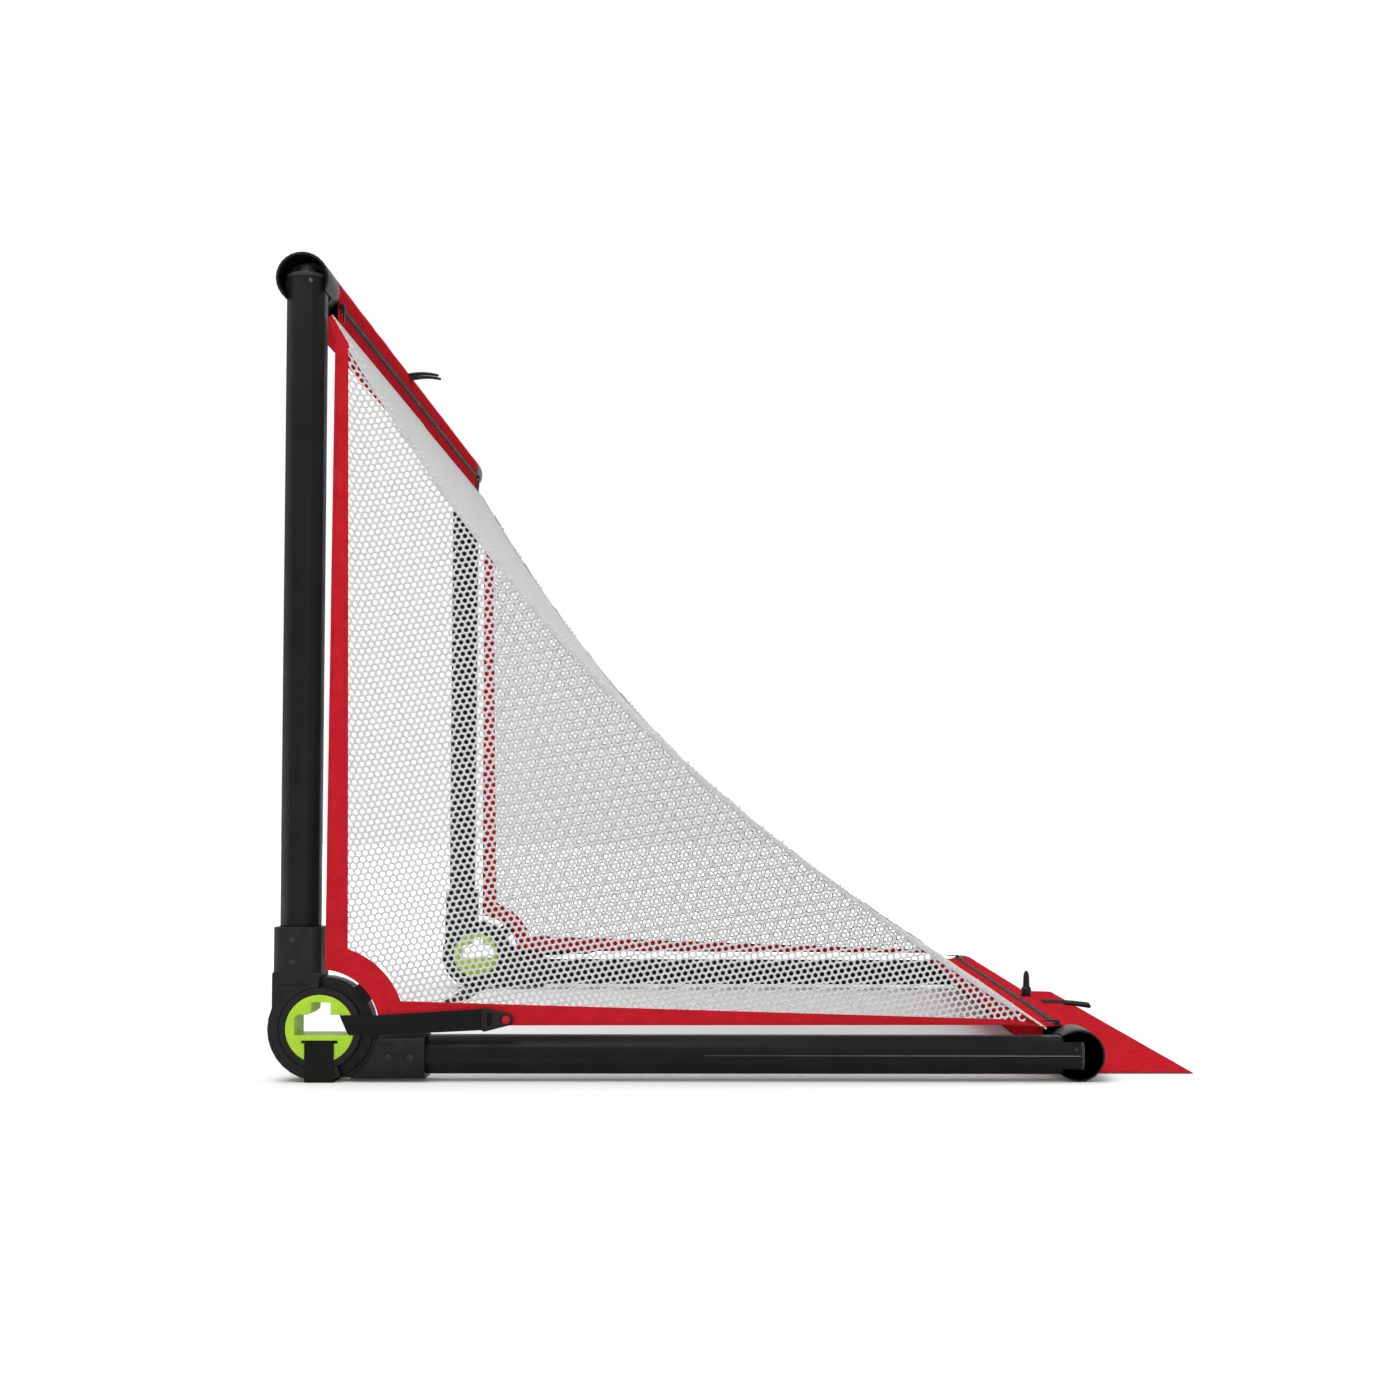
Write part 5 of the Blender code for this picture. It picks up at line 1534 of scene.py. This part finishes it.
for side, sign in sides.items():
    for rear in (False, True):
        part = "rear" if rear else "top"
        body = f"{side}_base" if rear else f"{side}_post"
        sleeve, flat = coverPiece(side, sign, rear)
        tape, teeth = zipPieces(side, sign, rear)
        for piece, slot in ((sleeve, "red_cloth"), (tape, "zip_metal"), (teeth, "zip_metal")):
            settle(piece, body)
            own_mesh(piece)
        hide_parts(f"{side}_{part}_cover")
        bar = "rear_outer_tube" if rear else "crossbar_outer_tube"


# The cloth that lies on the ground behind the rear bar, in metres
flap = {
    "rows": 44,
    "columns": 150,
    "wave": 0.0016,
    "waveLength": 0.16,
    "fadeStart": 0.03,
    "fadeEnd": 0.015,
    "hem": 0.010,
    "laneFrom": 0.003,  # the rear seam starts this far from the middle
    "laneBehind": 0.01,
    "rearPoints": 90,
    "sidePoints": 30,
}


def flapRise(x, y):
    # how far the cloth lifts from the ground
    rise = 0.5 + 0.5 * ripple(x, y * 1.4, flap["waveLength"], 41)
    away = np.clip((y - flapStart) / flap["fadeStart"], 0, 1)
    away = away * np.clip((flapEnd - y) / flap["fadeEnd"], 0.15, 1)
    return flap["wave"] * np.clip(rise, 0, 1) * away


def flapPiece(side, sign):
    ys = np.linspace(flapStart, flapEnd, flap["rows"])
    xs = np.linspace(cut["halfGap"], flapHalf, flap["columns"])
    y, x = np.meshgrid(ys, xs, indexing="ij")
    grid = np.stack([sign * x, y, cut["clothThick"] / 2 + flapRise(x, y)], -1)
    thick = hemmed(flap["rows"], flap["columns"], cut["clothThick"], edges=(False, True))
    piece = slab(f"{side}_flap", grid, thick, "redCloth", np.stack([x, y], -1))
    hemY, hemX = flapEnd - flap["hem"], flapHalf - flap["hem"]
    rearXs = np.linspace(flap["laneFrom"], hemX, flap["rearPoints"])
    sideYs = np.linspace(flapStart + flap["laneBehind"], hemY, flap["sidePoints"])
    rearLane = [(across, hemY) for across in rearXs]
    sideLane = [(hemX, behind) for behind in sideYs]
    lines = []
    for lane in (rearLane, sideLane):
        x, y = np.array(lane).T
        z = cut["clothThick"] + flapRise(x, y) + stitch["lift"]
        lines.append(np.stack([sign * x, y, z], -1))
    sewn = sewnAlong(f"{side}_flap_stitches", lines)
    for item in (piece, sewn):
        settle(item, f"{side}_base")
        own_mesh(item)
    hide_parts(f"{side}_ground_flap")


for side, sign in sides.items():
    flapPiece(side, sign)


print("webbing")

# The black bands, in metres, most of them behind and above the hub's axis
strap = {
    "goalWidth": 0.042,
    "thick": 0.0016,
    "stand": 0.0003,
    "columns": 7,
    "rim": 0.6,
    "goalBend": 0.0024,
    "goalSteps": 60,
    "tensionBend": 0.0022,
    "tensionSteps": 90,
    "bendSteps": 5,
    "slotDrop": 0.0187,
    "slotDepth": 0.0144,
    "tensionWidth": 0.0285,
    "tensionEndWidth": 0.0305,
    "tensionRise": 0.0058,
    "buckleRise": 0.0138,
    "tensionLean": 0.45,  # the slope of the end that leaves the hub
    "leanReach": 0.035,
    "tensionInner": 0.0345,
    "tensionSlope": 0.0006,
    "tensionDepth": 0.0108,
    "tensionOver": 0.082,
    "buckleStart": 0.2300,
    "buckleIn": 0.0145,
    "buckleStand": 0.0031,  # out from the side cloth's face
    "tabTurn": 40.0,  # degrees above the base tube
    "tabWidth": 0.0290,
    "tabNear": 0.0700,
    "tabFar": 0.0920,
    "tabDepth": 0.0045,
    "tabSteps": 14,
    "looseAt": 0.27,
    "looseWidth": 0.020,
    "looseNear": 0.026,
    "looseFar": 0.111,
    "looseHigh": 0.0285,  # above the rear bar's axis
    "looseLow": 0.0235,
    "looseTilt": 0.20,  # how far its outer edge hangs down, in radians
    "looseBow": 0.0016,
    "looseTip": (0, 0.0012, -0.0022),  # from the upper layer's end to the middle of the bend
    "looseGap": (0.0020, 0.0030),  # between the layers, and how much more towards the bend
    "looseMiddle": 0.45,
    "looseDoubled": slice(18, 39),  # the steps that have a second layer
    "looseSteps": 40,
    "looseSamples": 110,
}


def strapPiece(name, path, widths, way, lean=None):
    # a flat band, square to its path along the direction way
    path = np.asarray(path, float)
    columns = np.linspace(-0.5, 0.5, strap["columns"])
    widths = np.broadcast_to(widths, len(path))
    spread = columns[None, :, None] * widths[:, None, None]
    grid = path[:, None] + np.asarray(way, float) * spread
    if lean is not None:
        grid[..., 1] -= lean[:, None] * spread[..., 0]
    run = runLength(path)
    uv = np.stack(np.broadcast_arrays(columns[None] * widths[:, None], run[:, None]), -1)
    thick = hemmed(len(path), len(columns), strap["thick"], rim=strap["rim"])
    return slab(name, grid, thick, "webbing", uv), (float(widths.mean()), float(run[-1]))


def goalStrap(side, sign):
    face = halfWidth + strap["stand"] + strap["thick"] / 2
    ground = strap["thick"] / 2
    slotZ = hub.z - strap["slotDrop"]
    corners = [
        (halfWidth - strap["slotDepth"], slotZ),
        (face, slotZ),
        (face, ground),
        (cut["halfGap"], ground),
    ]
    steps = strap["goalSteps"]
    line = softened([(x, 0, z) for x, z in corners], strap["goalBend"], strap["bendSteps"])
    line = np.concatenate([sampled(line[:-1], steps), sampled(line[-2:], steps)[1:]])
    line = np.stack([sign * line[:, 0], line[:, 1] + hub.y, line[:, 2]], -1)
    piece, flat = strapPiece(f"{side}_goal_line_webbing", line, strap["goalWidth"], (0, 1, 0))
    settle(piece, f"{side}_base")
    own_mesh(piece)
    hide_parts(f"{side}_goal_line_strap")


def tensionStrap(side, sign):
    face = halfWidth + strap["stand"] + strap["thick"] / 2
    endX = faceX(strap["buckleStart"], strap["buckleRise"])
    endX = endX + cut["clothThick"] / 2 + strap["buckleStand"]
    corners = [
        (halfWidth - strap["tensionDepth"], strap["tensionInner"]),
        (face, strap["tensionInner"] + strap["tensionSlope"]),
        (face, strap["tensionOver"]),
        (endX, strap["buckleStart"] + strap["buckleIn"]),
    ]
    line = softened([(x, y, 0) for x, y in corners], strap["tensionBend"], strap["bendSteps"])
    line = sampled(line, strap["tensionSteps"])
    behind, reach = line[:, 1], strap["buckleStart"] - strap["tensionOver"]
    share = np.clip((behind - strap["tensionOver"]) / reach, 0, 1)
    z = hub.z + strap["tensionRise"] + share * (strap["buckleRise"] - strap["tensionRise"])
    widths = strap["tensionWidth"] + share * (strap["tensionEndWidth"] - strap["tensionWidth"])
    lean = np.clip(1 - (behind - strap["tensionInner"]) / strap["leanReach"], 0, 1)
    lean = strap["tensionLean"] * lean
    line = np.stack([sign * line[:, 0], hub.y + behind, z], -1)
    piece, flat = strapPiece(f"{side}_tension_webbing", line, widths, (0, 0, 1), lean)
    settle(piece, f"{side}_base")
    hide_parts(f"{side}_tension_strap")


def hubTab(side, sign):
    # the short band that ties the bottom edge's curve to the hub
    turn = math.radians(strap["tabTurn"])
    way = np.array([math.cos(turn), math.sin(turn)])
    reach = np.linspace(strap["tabNear"], strap["tabFar"], strap["tabSteps"])
    share = (reach - reach[0]) / (reach[-1] - reach[0])
    far = faceX(*(way * strap["tabFar"])) + border["out"] - border["thick"] / 2 - strap["thick"]
    x = (halfWidth - strap["tabDepth"]) * (1 - share) + far * share
    line = np.stack([sign * x, hub.y + reach * way[0], hub.z + reach * way[1]], -1)
    piece, flat = strapPiece(f"{side}_hub_tab", line, strap["tabWidth"], (0, -way[1], way[0]))
    settle(piece, f"{side}_base")
    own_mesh(piece)


def looseStrap():
    # the doubled end that hangs free from the rear sleeve, over the right half of the flap
    behind = np.linspace(strap["looseNear"], strap["looseFar"], strap["looseSteps"])
    share = np.linspace(0, 1, strap["looseSteps"])
    high = strap["looseHigh"] + (strap["looseLow"] - strap["looseHigh"]) * share
    x = np.full_like(share, strap["looseAt"])
    z = rearBar.z + high + strap["looseBow"] * np.sin(math.pi * share)
    gap, more = strap["looseGap"]
    below = z - gap - more * (share - strap["looseMiddle"])
    upper = np.stack([x, rearBar.y + behind, z], -1)
    under = np.stack([x, rearBar.y + behind, below], -1)[strap["looseDoubled"]][::-1]
    bend = upper[-1] + np.array(strap["looseTip"])
    line = sampled(np.concatenate([upper, bend[None], under]), strap["looseSamples"])
    tilt = strap["looseTilt"]
    way = (math.cos(tilt), 0, -math.sin(tilt))
    piece, flat = strapPiece("right_loose_strap", line, strap["looseWidth"], way)
    settle(piece, "right_base")
    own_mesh(piece)


for side, sign in sides.items():
    goalStrap(side, sign)
    tensionStrap(side, sign)
    hubTab(side, sign)
looseStrap()


print("tube line")

# The painted highlight along the groove near the rear end of each base tube, a pale strip that
# stands in for the light the groove catches, in metres
tubeHighlight = {
    "from": 0.55,
    "to": 1.098,
    "half": 0.00038,
    "thinHalf": 0.00008,
    "fade": 0.12,  # full width starts this far before its end
    "rise": 0.0002,
    "above": 0.0005,
    "thick": 0.0003,
    "rows": 60,
}


# a pale strip on the tube's outer face, narrower towards the front: a painted highlight
def makeTubeHighlight(side, sign):
    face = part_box("right_base_tube")[1].x
    start, end = tubeHighlight["from"], tubeHighlight["to"]
    behind = np.linspace(start, end, tubeHighlight["rows"])
    widths = [tubeHighlight["thinHalf"], tubeHighlight["half"]]
    halves = np.interp(behind, [start, end - tubeHighlight["fade"]], widths)
    z = rearBar.z + tubeHighlight["above"] + halves[:, None] * np.linspace(-1, 1, 3)
    x = np.full_like(z, sign * (face + tubeHighlight["rise"]))
    grid = np.stack([x, np.broadcast_to(hub.y + behind[:, None], z.shape), z], -1)
    thick = np.full(z.shape, tubeHighlight["thick"])
    uv = np.stack([z, grid[..., 1]], -1)
    piece = slab(f"{side}_tube_line", grid, thick, "paleLine", uv)
    settle(piece, f"{side}_base")


for side, sign in sides.items():
    makeTubeHighlight(side, sign)
for side in sides:
    for part in ("top", "rear"):
        dressNode(f"{side}_{part}_zip_pull", pullRounding, "zipMetal", "zip_metal")
bpy.data.objects.remove(threadShape, do_unlink=True)


print("floor, light and camera")

# The floor, the lamps and the world, in metres
studio = {
    "floorSize": 60.0,
    "floorColour": (0.90, 0.90, 0.90),
    # The floor glows for camera, gloss and glass rays: least under the goal, more beside it and
    # fully white far off, which paints shade on the ground round the goal on top of its real shadow
    "lift": 0.05,  # what a camera ray sees beside the floor's own light
    "sideLift": 0.16,
    "farLift": 1.0,
    "sideFrom": -0.02,  # past the object's footprint
    "sideTo": 0.34,
    "liftFrom": 1.3,
    "liftTo": 2.4,
    "floorDrop": 0.0003,
    "lamps": {  # place, target, size and power
        "keyLight": ((2.6, -1.6, 4.2), (0, -0.1, 0.3), (3.0, 3.0), 108.0),
        "fillLight": ((4.0, 0.8, 1.6), (0, 0.1, 0.4), (3.0, 2.4), 22.0),
        "topLight": ((-0.4, -0.8, 4.3), (0, 0, 0.3), (3.0, 3.0), 78.0),
    },
    "world": 0.50,
}

view = {
    "from": (4.0121, 0.6191, 0.3758),  # x, behind the hub, z
    "pitch": 1.1857,
    "yaw": -2.2809,
    "roll": 0.3179,
    "focus": 2148.9,  # in pixels of the 1400 pixel picture
    "shift": (-139.1, 78.5),
    "picture": 1400.0,
    "sensor": 36.0,
    "clip": (0.05, 200),
}


def seenRays(tree):
    # 1 for the camera's own rays and for what gloss and glass show
    ray = tree.nodes.new("ShaderNodeLightPath").outputs
    seen = calc(tree, "MAXIMUM", ray["Is Camera Ray"], ray["Is Glossy Ray"])
    return calc(tree, "MAXIMUM", seen, ray["Is Transmission Ray"])


def floorMaterial():
    material = bpy.data.materials.new("floorPaper")
    material.use_nodes = True
    tree = material.node_tree
    tree.nodes.clear()
    new, do = partial(added, tree), partial(calc, tree)
    where = new("ShaderNodeTexCoord", {}).outputs["Object"]
    length = new("ShaderNodeVectorMath", {0: where})
    length.operation = "LENGTH"
    split = new("ShaderNodeSeparateXYZ", {0: where}).outputs
    # the glow grows with the distance past the goal's footprint, so the ground under and beside the
    # goal shows painted shade
    beside = do("SUBTRACT", do("ABSOLUTE", split[0]), halfWidth)
    around = do("SUBTRACT", do("ABSOLUTE", split[1]), flapEnd)
    keys = ("lift", "sideLift", "sideFrom", "sideTo")
    near = ranged(tree, do("MAXIMUM", beside, around), *(studio[key] for key in keys))
    reach = (studio["liftFrom"], studio["liftTo"])
    far = ranged(tree, length.outputs["Value"], 0.0, studio["farLift"], *reach)
    lift = do("MULTIPLY", seenRays(tree), do("MAXIMUM", near, far))
    diffuse = new("ShaderNodeBsdfDiffuse", {"Color": (*studio["floorColour"], 1)}).outputs[0]
    glow = new("ShaderNodeEmission", {"Strength": lift}).outputs[0]
    both = new("ShaderNodeAddShader", {0: diffuse, 1: glow}).outputs[0]
    new("ShaderNodeOutputMaterial", {"Surface": both})
    return material


def makeFloor():
    half = studio["floorSize"] / 2
    corners = [(-half, -half, 0), (half, -half, 0), (half, half, 0), (-half, half, 0)]
    floor = rawPiece("floor", corners, [], [(0, 1, 2, 3)])
    floor.data.materials.append(floorMaterial())
    floor.location = (0, 0, -studio["floorDrop"])


def makeWorld():
    world = bpy.data.worlds.new("studio")
    bpy.context.scene.world = world
    world.use_nodes = True
    tree = world.node_tree
    extra = calc(tree, "MULTIPLY", seenRays(tree), 1.0 - studio["world"])
    strength = calc(tree, "ADD", extra, studio["world"])
    feed(tree.nodes["Background"], {"Color": (1, 1, 1, 1), "Strength": strength})


def areaLight(name, place, target, size, power):
    data = bpy.data.lights.new(name, "AREA")
    data.shape = "RECTANGLE"
    data.size, data.size_y = size
    data.energy = power
    light = placed(name, data)
    light.location = place
    light.rotation_euler = (Vector(target) - Vector(place)).to_track_quat("-Z", "Y").to_euler()


def makeCamera():
    data = bpy.data.cameras.new("camera")
    camera = placed("camera", data)
    x, behind, z = view["from"]
    yaw, pitch, roll = (math.radians(view[key]) for key in ("yaw", "pitch", "roll"))
    level = math.cos(pitch)
    ahead = Vector((-math.cos(yaw) * level, -math.sin(yaw) * level, math.sin(pitch)))
    right = Vector((-math.sin(yaw), math.cos(yaw), 0))
    up = right.cross(ahead)
    turned = Matrix((right, up, -ahead)).transposed()
    place = Matrix.Translation((x, hub.y + behind, z))
    camera.matrix_world = place @ turned.to_4x4() @ Matrix.Rotation(roll, 4, "Z")
    data.sensor_width = view["sensor"]
    data.lens = view["focus"] / view["picture"] * view["sensor"]
    data.shift_x, data.shift_y = (part / view["picture"] for part in view["shift"])
    data.clip_start, data.clip_end = view["clip"]
    bpy.context.scene.camera = camera


makeFloor()
makeWorld()
for name, lamp in studio["lamps"].items():
    areaLight(name, *lamp)
makeCamera()
bpy.context.scene.view_settings.view_transform = "Standard"
